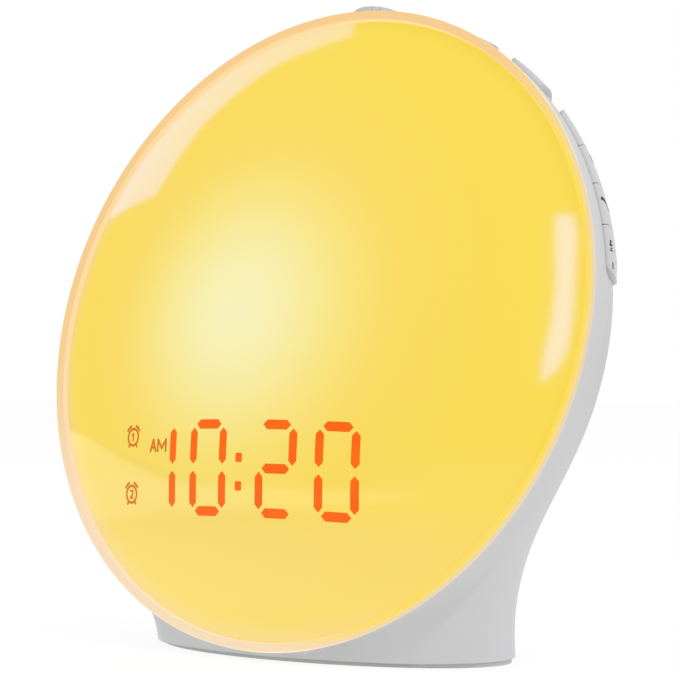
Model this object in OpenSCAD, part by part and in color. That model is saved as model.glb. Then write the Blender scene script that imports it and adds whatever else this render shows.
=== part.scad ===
// Sunrise alarm clock: a leaning round lamp disc on a flared foot.
// The origin is the centre of the foot on the table. +X is to the viewer's right, the disc faces -Y
// and +Z is up.
// Pieces of the disc are drawn in the disc's own frame: x right, y up the disc, z towards the viewer,
// with z = 0 on the bezel's front face. "Depth" there is counted backwards from that face.

/* [Light disc] */
// Outer diameter of the disc, over the bezel
disc_d = 177.6; // [172:0.1:184]
// Lean of the disc back from upright, degrees
disc_lean = 14; // [10:0.5:18]
// How high the disc's lowest edge lies over the table
disc_lift = 2.9; // [2.6:0.02:14]
// Width of the flat bezel ring
bezel_w = 2.1; // [1.6:0.1:3]
// Thickness of the bezel's flange, which shows as the rim's outer edge
bezel_t = 1; // [0.8:0.1:1.6]
// Wall of the bezel's skirt, inside the housing's mouth
bezel_skirt_t = 0.6; // [0.5:0.05:0.7]
// Radius of the glowing dome's curve
dome_curve = 215; // [190:1:300]
// How far the dome's edge lies behind the bezel's face
dome_sink = 2.45; // [2:0.05:3]
// Wall of the dome
dome_t = 2.2; // [1.6:0.1:2.6]

/* [Housing] */
// How far the bezel's edge stands out past the housing's bowl
rim_out = 0.1; // [0:0.05:0.8]
// Depth of the bowl behind the disc's face
bowl_depth = 44.8; // [43:0.2:52]
// How square the bowl's curve is: 2 is an ellipse
bowl_square = 2.36; // [2.2:0.02:2.6]
// Wall of the housing
wall = 2.4; // [2:0.1:2.6]
// Width of the foot
foot_w = 112.4; // [108:0.2:120]
// Depth of the foot, front to back
foot_depth = 55.2; // [54:0.2:60]
// How far the foot's centre lies behind the disc's centre
foot_set = 12.6; // [11:0.1:14]
// How far the foot flares out over its neck
foot_flare = 1.04; // [0.6:0.02:2]
// Height over which the flare dies out
flare_h = 10.7; // [8:0.1:14]
// How far the foot's column moves back per millimetre of height
foot_rake = 0.05; // [0:0.01:0.1]
// Reach of the smooth blend between bowl and foot
blend_r = 17.6; // [12:0.2:24]
// Height where the foot's column starts to die away into the bowl
column_h = 80; // [75:1:85]

/* [Base] */
// Thickness of the anti-slip pad
pad_t = 1.4; // [1:0.1:2]
// How far the pad lies inside the foot's edge
pad_inset = 1; // [0.6:0.1:1.6]
// Thickness of the base plate
base_t = 2.5; // [2.2:0.1:3]
// Distance of the base screws from the middle, sideways
base_screw_x = 29; // [27:0.5:30]
// Distance of the base screws from the middle, front to back
base_screw_y = 17; // [16.6:0.1:17.4]
// Height of the screw bosses in the foot
base_boss_h = 12; // [10:0.5:14]

/* [Lit time] */
// Distance between neighbouring digits
digit_pitch = 18.75; // [17.5:0.05:19.5]
// Distance between the digits on either side of the colon
colon_pitch = 23.3; // [22:0.1:25]
// Digit width, between the middles of its uprights
digit_w = 10.65; // [9:0.05:11]
// Digit height, between the middles of its top and bottom bars
digit_h = 22.6; // [20:0.1:24]
// Thickness of a digit's stroke
seg_t = 2.5; // [2:0.1:3]
// Gap between two strokes' points
seg_gap = 1.75; // [1:0.05:1.9]
// Width of the colon's dots
colon_dot = 2.2; // [1.6:0.1:2.8]
// Height of the colon's dots
colon_dot_h = 2.4; // [2:0.1:3.2]
// Distance between the colon's dots
colon_rise = 7.3; // [6:0.1:10]
// How far the colon's middle lies below the digits' middle bars
colon_drop = 1; // [0:0.1:2]
// Sideways place of the colon's middle between the digits around it
colon_shift = -0.6; // [-1:0.1:1]
// Sideways place of the time's middle on the disc
time_x = -4.7; // [-7:0.1:-3]
// Place of the digits' middle bars below the disc's centre
time_drop = 42.5; // [41:0.1:44]
// Width of an alarm symbol
symbol_w = 6.2; // [5:0.1:7]
// Sideways place of the alarm symbols
symbol_x = -47; // [-48:0.1:-46]
// Place of the two alarm symbols below the disc's centre
symbol_drops = [34.1, 49.4];
// Stroke of the alarm symbols and the two letters
fine_stroke = 0.7; // [0.5:0.05:0.8]
// Height of the two morning letters
letter_h = 3.8; // [3:0.1:4.5]
// Sideways place of the letters' left edge
letter_x = -39.4; // [-40:0.1:-39]
// Place of the letters' middle below the disc's centre
letter_drop = 36.6; // [36:0.1:38]
// Depth that the lit marks are let into the dome
inlay_t = 0.5; // [0.4:0.05:0.8]
// Gap round each lit mark
inlay_gap = 0.04; // [0.03:0.01:0.08]

/* [Controls] */
// Depth of the row of controls behind the disc's face
controls_back = 13; // [12.8:0.1:13.6]
// Front-to-back width of a key
key_w = 11.2; // [8:0.1:11.2]
// How far a key stands proud of the housing
key_proud = 1.4; // [0.6:0.1:1.6]
// How far a single key stands proud of the housing
single_proud = 1.8; // [0.6:0.1:2]
// Travel of a key
key_travel = 0.8; // [0.5:0.05:1]
// Gap round a key
key_gap = 0.3; // [0.25:0.05:0.4]
// Radius of the rounded corners of a single key and of a strip's ends
key_corner = 3.4; // [1:0.1:4]
// Angle where the strip of four keys starts, from the horizontal
strip_start = 8.6; // [7:0.1:9]
// Angle that each middle key of the strip takes
strip_step = 7.75; // [7.4:0.05:8]
// Angle that each end key of the strip takes
strip_end_step = 8.7; // [8.2:0.1:9]
// Angle that a single key takes
single_step = 10.6; // [9:0.1:11]
// Middle angles of the two single keys
single_mids = [51.4, 66.2];
// Diameter of a key's stem
stem_d = 3; // [2.4:0.1:3.2]
// Knob diameter
knob_d = 15.4; // [14:0.1:15.6]
// How far the knob's top stands out past the bowl's edge
knob_rise = 4; // [2.6:0.1:6.6]
// Gap between the knob and its well
knob_gap = 0.4; // [0.3:0.05:0.5]
// Number of grooves round the knob
knob_grooves = 22; // [16:1:28]
// Travel of the knob when it is pressed
knob_travel = 0.8; // [0.5:0.05:1]
// Diameter of the encoder's shaft
shaft_d = 6; // [5:0.1:6.4]
// Radial running clearance of the shaft
shaft_fit = 0.06; // [0.03:0.01:0.09]

/* [Inside] */
// Sheet thickness of the reflector tray
tray_t = 1.6; // [1.4:0.1:2]
// Depth of the tray's floor behind the disc's face
tray_depth = 22; // [21:0.5:24]
// Gap between the tray's mouth and the key boards
mouth_gap = 5.4; // [4.9:0.1:7.4]
// How much the tray narrows from its mouth to its floor
tray_narrowing = 8; // [6:0.5:10]
// Thickness of the circuit boards
board_t = 1.6; // [1.4:0.1:1.8]
// Diameter of the board that carries the lamp's diodes
light_board_d = 80; // [70:1:82]
// Width of the main board
main_board_w = 84; // [76:1:86]
// Height of the main board
main_board_h = 42; // [38:1:44]
// Diameter of the speaker
speaker_d = 36; // [30:0.5:36]
// Height of the speaker's axis above the table
speaker_h = 66; // [65:0.5:68]
// Depth of the speaker
speaker_depth = 13; // [11:0.5:14]
// Width of the port panel
panel_w = 32; // [30:0.5:33]
// Height of the port panel
panel_h = 14; // [13:0.5:14.5]
// Height of the port panel's middle above the table
panel_z = 14.5; // [14:0.1:15]
// Diameter of the backup coin cell
cell_d = 20; // [19.9:0.1:20.1]
// Thickness of the backup coin cell
cell_t = 3.2; // [3.1:0.1:3.3]

/* [Hidden] */

$fn = 96;
eps = 0.01;
housing_grey = [0.86, 0.86, 0.87];
lamp_yellow = [0.98, 0.86, 0.35];
rim_amber = [0.96, 0.80, 0.55];
lit_orange = [1, 0.42, 0.07];
symbol_orange = [0.88, 0.48, 0.12];
board_green = [0.10, 0.36, 0.22];
steel = [0.75, 0.76, 0.78];
dark_plastic = [0.12, 0.12, 0.13];

// Clearances shared by all pieces
seat_gap = 0.3;
facet_gap = 0.15;
slip = 0.1;

// Radii and depths of the rim's stack
disc_r = disc_d / 2;
disc_height = disc_r * cos(disc_lean) + disc_lift;
bowl_r = disc_r - rim_out;
skin_r = bowl_r - wall;
mouth_r = disc_r - bezel_w;
dome_r = mouth_r - slip;
dome_centre_z = -dome_sink - sqrt(pow(dome_curve, 2) - pow(dome_r, 2));
skirt_r = mouth_r + bezel_skirt_t;
shoulder = dome_sink + 1.85;
counterbore_r = skirt_r + facet_gap;
tray_top = shoulder + seat_gap;
tray_seat = tray_top + tray_t;
tray_rim_r = dome_r - 2;

// The foot
foot_a = foot_w / 2;
foot_b = foot_depth / 2;
base_top = pad_t + base_t;
plate_inset = wall + 0.65;
bowl_slope = 55;
foot_slope = 40;
column_fade = 0.02;
blend_start = 12;
heart = [0, -25, 20];
turn_crowding = 24;
ring_crowding = 1.25;
run_on = 14;
ray_reach = 140;
ray_steps = 24;
skin_around = 104;
skin_rings = 34;
hollow_around = 56;
hollow_rings = 18;

// Screws: small self-tapping ones everywhere
screw_r = 1.2;
pilot_r = 1.25;
screw_hole_r = 1.5;
head_r = 2.4;
head_t = 1.5;
tray_boss_r = 3.4;
tray_boss_set = 6.8;
tray_boss_at = dome_r - tray_boss_set;
tray_boss_angles = [78, 102, -14, 194];
tray_screw_len = 9;
rib_t = 2;
rib_reach = 20;
slot_w = 0.5;
slot_deep = 0.6;

// Keys
inner_skin_gap = 0.5;
flange_t = 1.2;
flange_out = 0.8;
stem_reach = 11.1;
stem_end = skin_r - stem_reach;
stem_in_switch = 1.3;
stem_play = 0.25;
switch_h = 3.8;
switch_side = 6;
switch_board_t = 1;
switch_board_w = 9;
switch_top = stem_end + stem_in_switch;
switch_board_r = switch_top - switch_h - switch_board_t;
switch_floor = stem_end - key_travel - 0.3;
wall_start = 3;
wall_end = 74;
strip_mid = strip_start + strip_end_step + strip_step;
end_reach = strip_step + strip_end_step / 2;
strip_mids = [strip_mid + end_reach, strip_mid + strip_step / 2, strip_mid - strip_step / 2,
    strip_mid - end_reach];
key_mids = concat([single_mids[1], single_mids[0]], strip_mids);
key_steps = [single_step, single_step, strip_end_step, strip_step, strip_step, strip_end_step];
key_rises = [single_proud, single_proud, key_proud, key_proud, key_proud, key_proud];
inner_corner = 0.6;
// Corner radii of a key's lower and upper end
key_lower_corners = [key_corner, key_corner, inner_corner, inner_corner, inner_corner, key_corner];
key_upper_corners = [key_corner, key_corner, key_corner, inner_corner, inner_corner, inner_corner];

// Knob and encoder
knob_r = knob_d / 2;
well_r = knob_r + knob_gap;
encoder_reach = 14;
encoder_base = skin_r - encoder_reach;
encoder_side = 12;
encoder_h = 5.5;
encoder_top = encoder_base + encoder_h;
encoder_floor = encoder_base + 0.8;
bush_r = 4.4;
bush_h = 1.9;
bush_top = encoder_top + bush_h;
knob_top = bowl_r + knob_rise;
plunger_r = 2.4;
plunger_t = 1;
plunger_base = encoder_floor + knob_travel + 0.1;
knob_foot = bush_top + knob_travel + 0.4;
knob_edge_h = 0.6;
shaft_flat_x = shaft_d / 2 - 1.2;
shaft_flat_from = bush_top + 1.4;
encoder_board_w = encoder_side + 4;
knob_roof_t = 2;
knob_wall = 1.8;
knob_hollow_h = 6;
knob_dish_r = 39;
knob_dish = 0.4;

// Shelf of the tray that carries the encoder's board, and the posts of the main board
shelf_t = 1.6;
tray_mouth_r = switch_board_r - mouth_gap;
tray_floor_r = tray_mouth_r - tray_narrowing;
board_post_r = 2.6;
main_board_rise = 20;
post_rise = 15;
post_out = 1.94;
upper_post_x = 36;

// Display block: behind the lower left of the dome
block_left = symbol_x - symbol_w / 2 - 2.6;
block_right = time_x + colon_pitch / 2 + digit_pitch + digit_w / 2 + 3.4;
block_top = -time_drop + digit_h / 2 + 3.2;
block_bottom = -time_drop - digit_h / 2 - 3.2;
block_back = tray_top;
block_corner_r = tray_boss_at;
post_r = 3;

// Rear furniture
grille_r = speaker_d / 2 + 2;
grille_tilt = 5;
grille_face = 30;
grille_t = 3;
grille_flange = 2.5;
gasket_t = 0.8;
panel_face = 26.2;
panel_t = 3.1;
panel_flange = 2;
jack_x = -9.5;
usb_x = 3.6;
gland_x = 13.4;
power_board_z = base_top + 4;
power_board_top = power_board_z + board_t;
door_x = -21;
door_l = 30;
door_w = 25;
door_t = 1.6;
door_lip = 2;

// ---------- frames ----------

module on_disc() translate([0, -foot_set, disc_height]) rotate([90 - disc_lean, 0, 0]) children();

// A place in the row of controls: z points out along the radius, its origin is on the disc's axis
module at_control(angle) on_disc() rotate([0, 0, angle]) translate([0, 0, -controls_back]) rotate([0, 90, 0])
    children();

module at_speaker() translate([0, 0, speaker_h]) rotate([-90 - grille_tilt, 0, 0]) children();

// ---------- the housing's form ----------

function bowl_at(depth, inset = 0) = (bowl_r - inset)
    * pow(1 - pow(depth / (bowl_depth - inset), bowl_square), 1 / bowl_square);
function world_y(v, depth) = v * sin(disc_lean) + depth * cos(disc_lean) - foot_set;
function world_z(v, depth) = disc_height + v * cos(disc_lean) - depth * sin(disc_lean);
function flare_at(z) = foot_flare * (exp(-max(z - pad_t, 0) / flare_h) - 1);
function in_bowl(x, v, depth, inset) = bowl_slope
    * (1 - pow(pow(norm([x, v]) / (bowl_r - inset), bowl_square)
    + pow(max(depth, 0) / (bowl_depth - inset), bowl_square), 1 / bowl_square));
function in_foot(x, y, z, inset) = foot_slope
    * (1 - norm([x / (foot_a + flare_at(z) - inset),
    (y - foot_rake * (z - pad_t)) / (foot_b + flare_at(z) - inset)]))
    - column_fade * pow(max(z - column_h, 0), 2);
function soft_union(a, b, k) = let (h = max(0, min(1, 0.5 + 0.5 * (a - b) / k)))
    b + (a - b) * h + k * h * (1 - h);
// How far a point (x, v up the disc, depth) lies inside the form, roughly in millimetres
function in_form(p, inset) = min(p[2] + run_on, world_z(p[1], p[2]) + run_on,
    soft_union(in_bowl(p[0], p[1], p[2], inset),
    in_foot(p[0], world_y(p[1], p[2]), world_z(p[1], p[2]), inset),
    blend_r * max(0.02, min(1, p[2] / blend_start))));
// Length of a ray from the form's heart to its skin, found by halving
function ray(dir, inset, lo = 0, hi = ray_reach, n = ray_steps) = n == 0 ? lo
    : let (mid = (lo + hi) / 2) in_form(heart + mid * dir, inset) > 0 ? ray(dir, inset, mid, hi, n - 1)
    : ray(dir, inset, lo, mid, n - 1);
// The skin as the heart sees it in the direction of a point of the plain bowl. The bowl's rings keep
// the mesh in step with the disc's edge, and the turns crowd together towards the foot.
function skin_point(target, inset) = let (
    dir = (target - heart) / norm(target - heart), p = heart + ray(dir, inset) * dir
) [p[0], p[1], -p[2]];
function crowded(turn) = turn + turn_crowding * sin(turn);
function on_bowl(turn, swing) = let (r = bowl_r * pow(cos(swing), 2 / bowl_square))
    [r * sin(turn), r * cos(turn), bowl_depth * pow(sin(swing), 2 / bowl_square)];
function on_front(turn, r) = [r * sin(turn), r * cos(turn), -run_on];

// The closed form behind the disc, shrunk by inset, as rings of points from the front to the back.
// It runs on past the disc's face and below the foot, where the housing is cut off square.
module form(inset, around, rings) {
    turns = [for (i = [0:around - 1]) crowded(i * 360 / around)];
    points = concat(
        [for (t = turns) skin_point(on_front(t, bowl_r), inset)],
        [for (j = [0:rings - 1]) for (t = turns)
            skin_point(on_bowl(t, 90 * pow(j / rings, ring_crowding)), inset)],
        [skin_point(on_front(0, 0), inset), skin_point(on_bowl(0, 90), inset)]);
    front = around * (rings + 1);
    back = front + 1;
    next = function (i) (i + 1) % around;
    faces = concat(
        [for (j = [0:rings - 1]) for (i = [0:around - 1])
            [j * around + i, (j + 1) * around + next(i), j * around + next(i)]],
        [for (j = [0:rings - 1]) for (i = [0:around - 1])
            [j * around + i, (j + 1) * around + i, (j + 1) * around + next(i)]],
        [for (i = [0:around - 1]) [front, i, next(i)]],
        [for (i = [0:around - 1]) [back, front - around + next(i), front - around + i]]);
    polyhedron(points, faces, convexity = 6);
}

module ellipse(a, b) polygon([for (i = [0:95]) [a * cos(i * 3.75), b * sin(i * 3.75)]]);

// A slice of a ring: profile is drawn as radius and minus depth
module ring_slice(mid, step) rotate([0, 0, mid - step / 2])
    rotate_extrude(angle = step, $fn = 180) children();

module bar(r0, r1, back, front) polygon([[r0, -back], [r1, -back], [r1, -front], [r0, -front]]);

function degrees(length, radius) = length / radius * 180 / PI;

// Points of a rounded corner that starts at an angle
function corner(x, y, r, start) = [for (a = [start:15:start + 90]) [x + r * cos(a), y + r * sin(a)]];

// A prism that points out along the radius, with a key's rounded corners, grown by a gap. Its long
// sides lie along the disc's edge.
module key_prism(mid, step, lower, upper, grow) {
    low_r = lower + grow;
    up_r = upper + grow;
    half_w = key_w / 2 + grow;
    half_l = (bowl_r + key_proud) * tan(step / 2) + grow;
    rotate([0, 0, mid]) translate([0, 0, -controls_back]) rotate([0, 90, 0])
        linear_extrude(disc_r + key_w) polygon(concat(
            corner(half_w - up_r, half_l - up_r, up_r, 0), corner(up_r - half_w, half_l - up_r, up_r, 90),
            corner(low_r - half_w, low_r - half_l, low_r, 180),
            corner(half_w - low_r, low_r - half_l, low_r, 270)));
}

// Opening for one key
module key_window(mid, step, lower, upper) intersection() {
    ring_slice(mid, step + 2 * degrees(key_gap, bowl_r)) window_profile();
    key_prism(mid, step, lower, upper, key_gap);
}

module window_profile() bar(bowl_at(controls_back) - wall - key_w / 2, disc_r + key_w / 2,
    controls_back + key_w / 2 + key_gap, controls_back - key_w / 2 - key_gap);

module mirrored() {
    children();
    mirror([1, 0, 0]) children();
}

module base_screw_places() for (sx = [-1, 1]) for (sy = [-1, 1])
    translate([sx * base_screw_x, sy * base_screw_y, 0]) children();

module tray_screw_places() for (a = tray_boss_angles)
    rotate([0, 0, a]) translate([tray_boss_at, 0, 0]) children();

module housing() color(housing_grey) difference() {
    on_disc() form(0, skin_around, skin_rings);
    difference() {
        on_disc() form(wall, hollow_around, hollow_rings);
        on_disc() tray_screw_places() translate([0, 0, -tray_seat - bowl_depth])
            cylinder(r = tray_boss_r, h = bowl_depth, $fn = 48);
        base_screw_places() translate([0, 0, base_top]) cylinder(r = tray_boss_r, h = base_boss_h, $fn = 48);
        mirrored() for (y = [-base_screw_y - rib_reach, base_screw_y])
            translate([base_screw_x - rib_t / 2, y, base_top]) cube([rib_t, rib_reach, base_boss_h]);
    }
    on_disc() translate([0, 0, -bezel_t]) cylinder(r = 2 * disc_r, h = disc_r);
    on_disc() translate([0, 0, -shoulder]) cylinder(r = counterbore_r, h = shoulder, $fn = 180);
    on_disc() translate([0, 0, -tray_seat]) cylinder(r = tray_rim_r + seat_gap, h = tray_seat, $fn = 180);
    translate([0, 0, pad_t - 1]) linear_extrude(base_t + 1)
        ellipse(foot_a - plate_inset + seat_gap, foot_b - plate_inset + seat_gap);
    translate([-disc_r, -disc_r, pad_t - disc_r]) cube([disc_d, disc_d, disc_r]);
    on_disc() mirrored() {
        ring_slice(strip_mid, 2 * end_reach) window_profile();
        for (i = [0, 1, 2, 5])
            key_window(key_mids[i], key_steps[i], key_lower_corners[i], key_upper_corners[i]);
    }
    at_control(90) translate([0, 0, encoder_top]) cylinder(r = well_r, h = disc_r - encoder_top + well_r);
    at_speaker() cylinder(r = grille_r + seat_gap, h = grille_face + 10);
    translate([-panel_w / 2 - seat_gap, 0, panel_z - panel_h / 2 - seat_gap])
        cube([panel_w + 2 * seat_gap, foot_depth, panel_h + 2 * seat_gap]);
    on_disc() tray_screw_places() translate([0, 0, -tray_seat - tray_screw_len])
        cylinder(r = pilot_r, h = tray_screw_len + 1);
    base_screw_places() translate([0, 0, pad_t]) cylinder(r = pilot_r, h = base_t + base_boss_h - 2);
}

// ---------- the disc ----------

module bezel_ring() color(rim_amber) on_disc() rotate_extrude($fn = 180) union() {
    polygon([[mouth_r, -bezel_t], [disc_r, -bezel_t], [disc_r, -0.35], [disc_r - 0.35, 0],
        [mouth_r + 0.25, 0], [mouth_r, -0.25]]);
    bar(mouth_r, skirt_r, shoulder - seat_gap, bezel_t);
}

module dome_cap(inset, extra = 0) intersection() {
    translate([0, 0, dome_centre_z]) sphere(r = dome_curve - inset, $fn = 180);
    translate([0, 0, -shoulder - extra]) cylinder(r = dome_r - inset, h = disc_r, $fn = 180);
}

// The layer of the dome's skin that holds the lit marks, grown by the gap for their pockets
module inlay_layer(grow) translate([0, 0, dome_centre_z]) difference() {
    sphere(r = dome_curve + (grow > 0 ? 1 : 0), $fn = 180);
    sphere(r = dome_curve - inlay_t - grow, $fn = 180);
}

module inlay(grow = 0) intersection() {
    inlay_layer(grow);
    translate([0, 0, -shoulder]) linear_extrude(dome_curve / 2) children();
}

module front_dome() color(lamp_yellow) on_disc() difference() {
    dome_cap(0);
    dome_cap(dome_t, 1);
    inlay(inlay_gap) time_marks(inlay_gap);
    inlay(inlay_gap) symbol_marks(inlay_gap);
}

// One stroke of a digit: a bar with pointed ends, along x
module stroke(length, grow) {
    tip = length / 2 + grow;
    shoulder_x = (length - seg_t) / 2;
    half = seg_t / 2 + grow;
    polygon([[-tip, 0], [-shoulder_x, -half], [shoulder_x, -half], [tip, 0],
        [shoulder_x, half], [-shoulder_x, half]]);
}

// Strokes of a digit, in the usual order: top, upper right, lower right, bottom, lower left,
// upper left, middle
stroke_x = [0, 1, 1, 0, -1, -1, 0];
stroke_y = [2, 1, -1, -2, -1, 1, 0];
all_strokes = [0, 1, 2, 3, 4, 5, 6];
lit_strokes = [[1, 2], [0, 1, 2, 3, 4, 5], [0, 1, 3, 4, 6], [0, 1, 2, 3, 4, 5]];
digit_places = [for (i = [-1, 1]) for (j = [-1, 1]) i * colon_pitch / 2 + (i + j) * digit_pitch / 2];

module digit(strokes, grow) for (s = strokes)
    translate([stroke_x[s] * digit_w / 2, stroke_y[s] * digit_h / 4])
        rotate(stroke_x[s] == 0 ? 0 : 90)
            stroke((stroke_x[s] == 0 ? digit_w : digit_h / 2) - seg_gap, grow);

module colon(grow) for (side = [-1, 1]) translate([colon_shift, side * colon_rise / 2 - colon_drop]) {
    r = colon_dot / 6 + grow;
    w = colon_dot / 2 + grow - r;
    h = colon_dot_h / 2 + grow - r;
    polygon(concat(corner(w, h, r, 0), corner(-w, h, r, 90), corner(-w, -h, r, 180), corner(w, -h, r, 270)));
}

module time_marks(grow = 0) translate([time_x, -time_drop]) {
    for (d = [0:3]) translate([digit_places[d], 0]) digit(lit_strokes[d], grow);
    colon(grow);
}

module line(p, q, w) translate((p + q) / 2) rotate(atan2(q[1] - p[1], q[0] - p[0]))
    square([norm(q - p) + w * 0.6, w], center = true);

// The morning letters, drawn with straight strokes
module letters(grow) {
    w = fine_stroke + 2 * grow;
    top = letter_h / 2 - fine_stroke / 2;
    a_w = letter_h * 0.74;
    m_w = letter_h * 0.86;
    translate([letter_x, -letter_drop]) {
        line([0.3, -top], [a_w / 2, top], w);
        line([a_w / 2, top], [a_w - 0.3, -top], w);
        line([a_w * 0.27, -top * 0.35], [a_w * 0.73, -top * 0.35], w);
        translate([a_w + 0.55, 0]) {
            line([0, -top], [0, top], w);
            line([0, top], [m_w / 2, -top * 0.5], w);
            line([m_w / 2, -top * 0.5], [m_w, top], w);
            line([m_w, top], [m_w, -top], w);
        }
    }
}

// An arc round the origin, up to reach degrees to each side of straight up
module arc(r, reach, w) polygon(concat(
    [for (a = [-reach:reach / 4:reach]) [(r + w / 2) * sin(a), (r + w / 2) * cos(a)]],
    [for (a = [reach:-reach / 4:-reach]) [(r - w / 2) * sin(a), (r - w / 2) * cos(a)]]));

// A plain bell-clock symbol with its number inside
module symbol(number, grow) {
    w = fine_stroke + 2 * grow;
    r = symbol_w * 0.36;
    difference() {
        circle(r = r + w / 2, $fn = 48);
        circle(r = r - w / 2, $fn = 48);
    }
    for (s = [-1, 1]) {
        rotate(s * -38) arc(r + fine_stroke * 1.3, 22, w);
        rotate(s * 35) line([0, -r], [0, -symbol_w * 0.5], w);
    }
    n = r * 0.42;
    if (number == 1) {
        line([0, -n], [0, n], w * 0.8);
        line([0, n], [-n * 0.6, n * 0.55], w * 0.8);
    } else {
        line([-n * 0.6, n], [n * 0.6, n], w * 0.8);
        line([n * 0.6, n], [n * 0.6, n * 0.1], w * 0.8);
        line([n * 0.6, n * 0.1], [-n * 0.6, -n], w * 0.8);
        line([-n * 0.6, -n], [n * 0.6, -n], w * 0.8);
    }
}

module symbol_marks(grow = 0) {
    letters(grow);
    for (i = [0, 1]) translate([symbol_x, -symbol_drops[i]]) symbol(i + 1, grow);
}

module time_digits() color(lit_orange) on_disc() inlay() time_marks();

module alarm_symbols() color(symbol_orange) on_disc() inlay() symbol_marks();

// ---------- the display block ----------

module block_outline(inset = 0) intersection() {
    translate([block_left + inset, block_bottom + inset])
        square([block_right - block_left - 2 * inset, block_top - block_bottom - 2 * inset]);
    circle(r = block_corner_r - inset);
}

module windows(grow) {
    translate([time_x, -time_drop]) {
        for (x = digit_places) translate([x, 0]) digit(all_strokes, grow);
        colon(grow);
    }
    for (drop = symbol_drops) translate([symbol_x, -drop]) circle(r = symbol_w / 2 - 0.4, $fn = 48);
    translate([letter_x - 0.4, -letter_drop - letter_h / 2]) square([letter_h * 1.9, letter_h]);
}

module display_shroud() color("white") on_disc() difference() {
    intersection() {
        translate([0, 0, -block_back + board_t]) linear_extrude(dome_curve / 2) block_outline();
        translate([0, 0, dome_centre_z]) sphere(r = dome_curve - dome_t - seat_gap, $fn = 180);
    }
    translate([0, 0, -block_back]) linear_extrude(dome_curve / 2) windows(0.2);
}

module display_board() color(board_green) on_disc()
    translate([0, 0, -block_back]) linear_extrude(board_t) block_outline(0.3);

module display_leds() color("ivory") on_disc() translate([0, 0, -block_back + board_t]) {
    for (x = digit_places) for (s = all_strokes)
        translate([time_x + x + stroke_x[s] * digit_w / 2, -time_drop + stroke_y[s] * digit_h / 4, 0])
            linear_extrude(0.7) square([1.6, 1.6], center = true);
    for (drop = symbol_drops) translate([symbol_x, -drop, 0])
        linear_extrude(0.7) square([2, 1.6], center = true);
}

// ---------- tray and lamp ----------

module tray_profile() polygon([
    [0, -tray_depth], [tray_floor_r, -tray_depth], [tray_mouth_r, -tray_top], [tray_rim_r, -tray_top],
    [tray_rim_r, -tray_seat], [tray_mouth_r + tray_t, -tray_seat],
    [tray_floor_r + tray_t, -tray_depth - tray_t], [0, -tray_depth - tray_t]]);

main_mid_v = main_board_rise - tray_floor_r;
lower_post_x = sqrt(pow(tray_floor_r + post_out, 2) - pow(main_mid_v - post_rise, 2));
board_post_places = [for (sx = [-1, 1]) for (sv = [-1, 1])
    [sx * (sv > 0 ? upper_post_x : lower_post_x), main_mid_v + sv * post_rise]];
main_board_depth = tray_depth + tray_t + 2.4;

module reflector_tray() color("white") on_disc() difference() {
    union() {
        rotate_extrude($fn = 180) tray_profile();
        mirrored() ring_slice((wall_start + wall_end) / 2, wall_end - wall_start)
            bar(switch_board_r - 1.4, switch_board_r, controls_back + key_w / 2, tray_seat - eps);
        for (x = [block_left + 5, block_right - 5]) translate([x, block_top - 4, -tray_depth - eps])
            cylinder(r = post_r, h = tray_depth - block_back + eps, $fn = 48);
        for (p = board_post_places) translate([p[0], p[1], -main_board_depth])
            cylinder(r = board_post_r, h = main_board_depth - tray_depth - tray_t + eps, $fn = 48);
        translate([-encoder_board_w / 2, encoder_base - board_t - shelf_t, -controls_back - encoder_side / 2])
            cube([encoder_board_w, shelf_t, controls_back + encoder_side / 2 - tray_seat + eps]);
    }
    tray_screw_places() translate([0, 0, -tray_seat - 1]) cylinder(r = screw_hole_r, h = tray_t + 2);
    for (p = board_post_places) translate([p[0], p[1], -main_board_depth - 1])
        cylinder(r = pilot_r, h = 4.4, $fn = 48);
    rotate([0, 0, 90]) translate([0, 0, -controls_back]) rotate([0, 90, 0])
        translate([0, 0, encoder_top - 1]) cylinder(r = well_r + 1, h = disc_r);
}

// A self-tapping screw along -z: its head stands on z = 0
module screw(length) {
    translate([0, 0, -length]) cylinder(r = screw_r, h = length + eps, $fn = 48);
    difference() {
        cylinder(r = head_r, h = head_t, $fn = 48);
        for (turn = [0, 90]) rotate([0, 0, turn]) translate([-head_r * 0.55, -slot_w / 2, head_t - slot_deep])
            cube([head_r * 1.1, slot_w, head_t]);
    }
}

module tray_screws() color(steel) on_disc() tray_screw_places()
    translate([0, 0, -tray_top]) screw(tray_t + tray_screw_len - 1.5);

module light_board() color("white") on_disc()
    translate([0, 0, -tray_depth]) cylinder(d = light_board_d, h = board_t);

module light_leds() color("ivory") on_disc() translate([0, 0, -tray_depth + board_t])
    for (ring = [[6, 12], [12, 24], [18, 35]]) for (i = [0:ring[0] - 1])
        rotate([0, 0, i * 360 / ring[0]]) translate([ring[1], 0, 0])
            linear_extrude(1.2) square([3.5, 2.8], center = true);

// ---------- main board ----------

module main_board() color(board_green) on_disc() difference() {
    translate([0, main_mid_v, -main_board_depth - board_t]) linear_extrude(board_t)
        square([main_board_w, main_board_h], center = true);
    for (p = board_post_places) translate([p[0], p[1], -main_board_depth - board_t - 1])
        cylinder(r = screw_hole_r, h = board_t + 2, $fn = 48);
}

// Chips of the main board: sideways place, place up the board, width, length and height
chips = [[-18, -4, 12, 12, 1.6], [6, 6, 9, 6, 1.5], [22, -6, 7, 5, 1.5], [-32, 4, 5, 9, 4],
    [10, -10, 6, 6, 2]];

module main_board_chips() color(dark_plastic) on_disc()
    for (c = chips) translate([c[0], main_mid_v + c[1], -main_board_depth - board_t - c[4]])
        linear_extrude(c[4]) square([c[2], c[3]], center = true);

module main_board_screws() color(steel) on_disc() for (p = board_post_places)
    translate([p[0], p[1], -main_board_depth - board_t]) rotate([180, 0, 0]) screw(board_t + 2.6);

// ---------- base ----------

module door_outline(grow) translate([door_x, 0])
    square([door_l + 2 * grow, door_w + 2 * grow], center = true);

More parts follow.
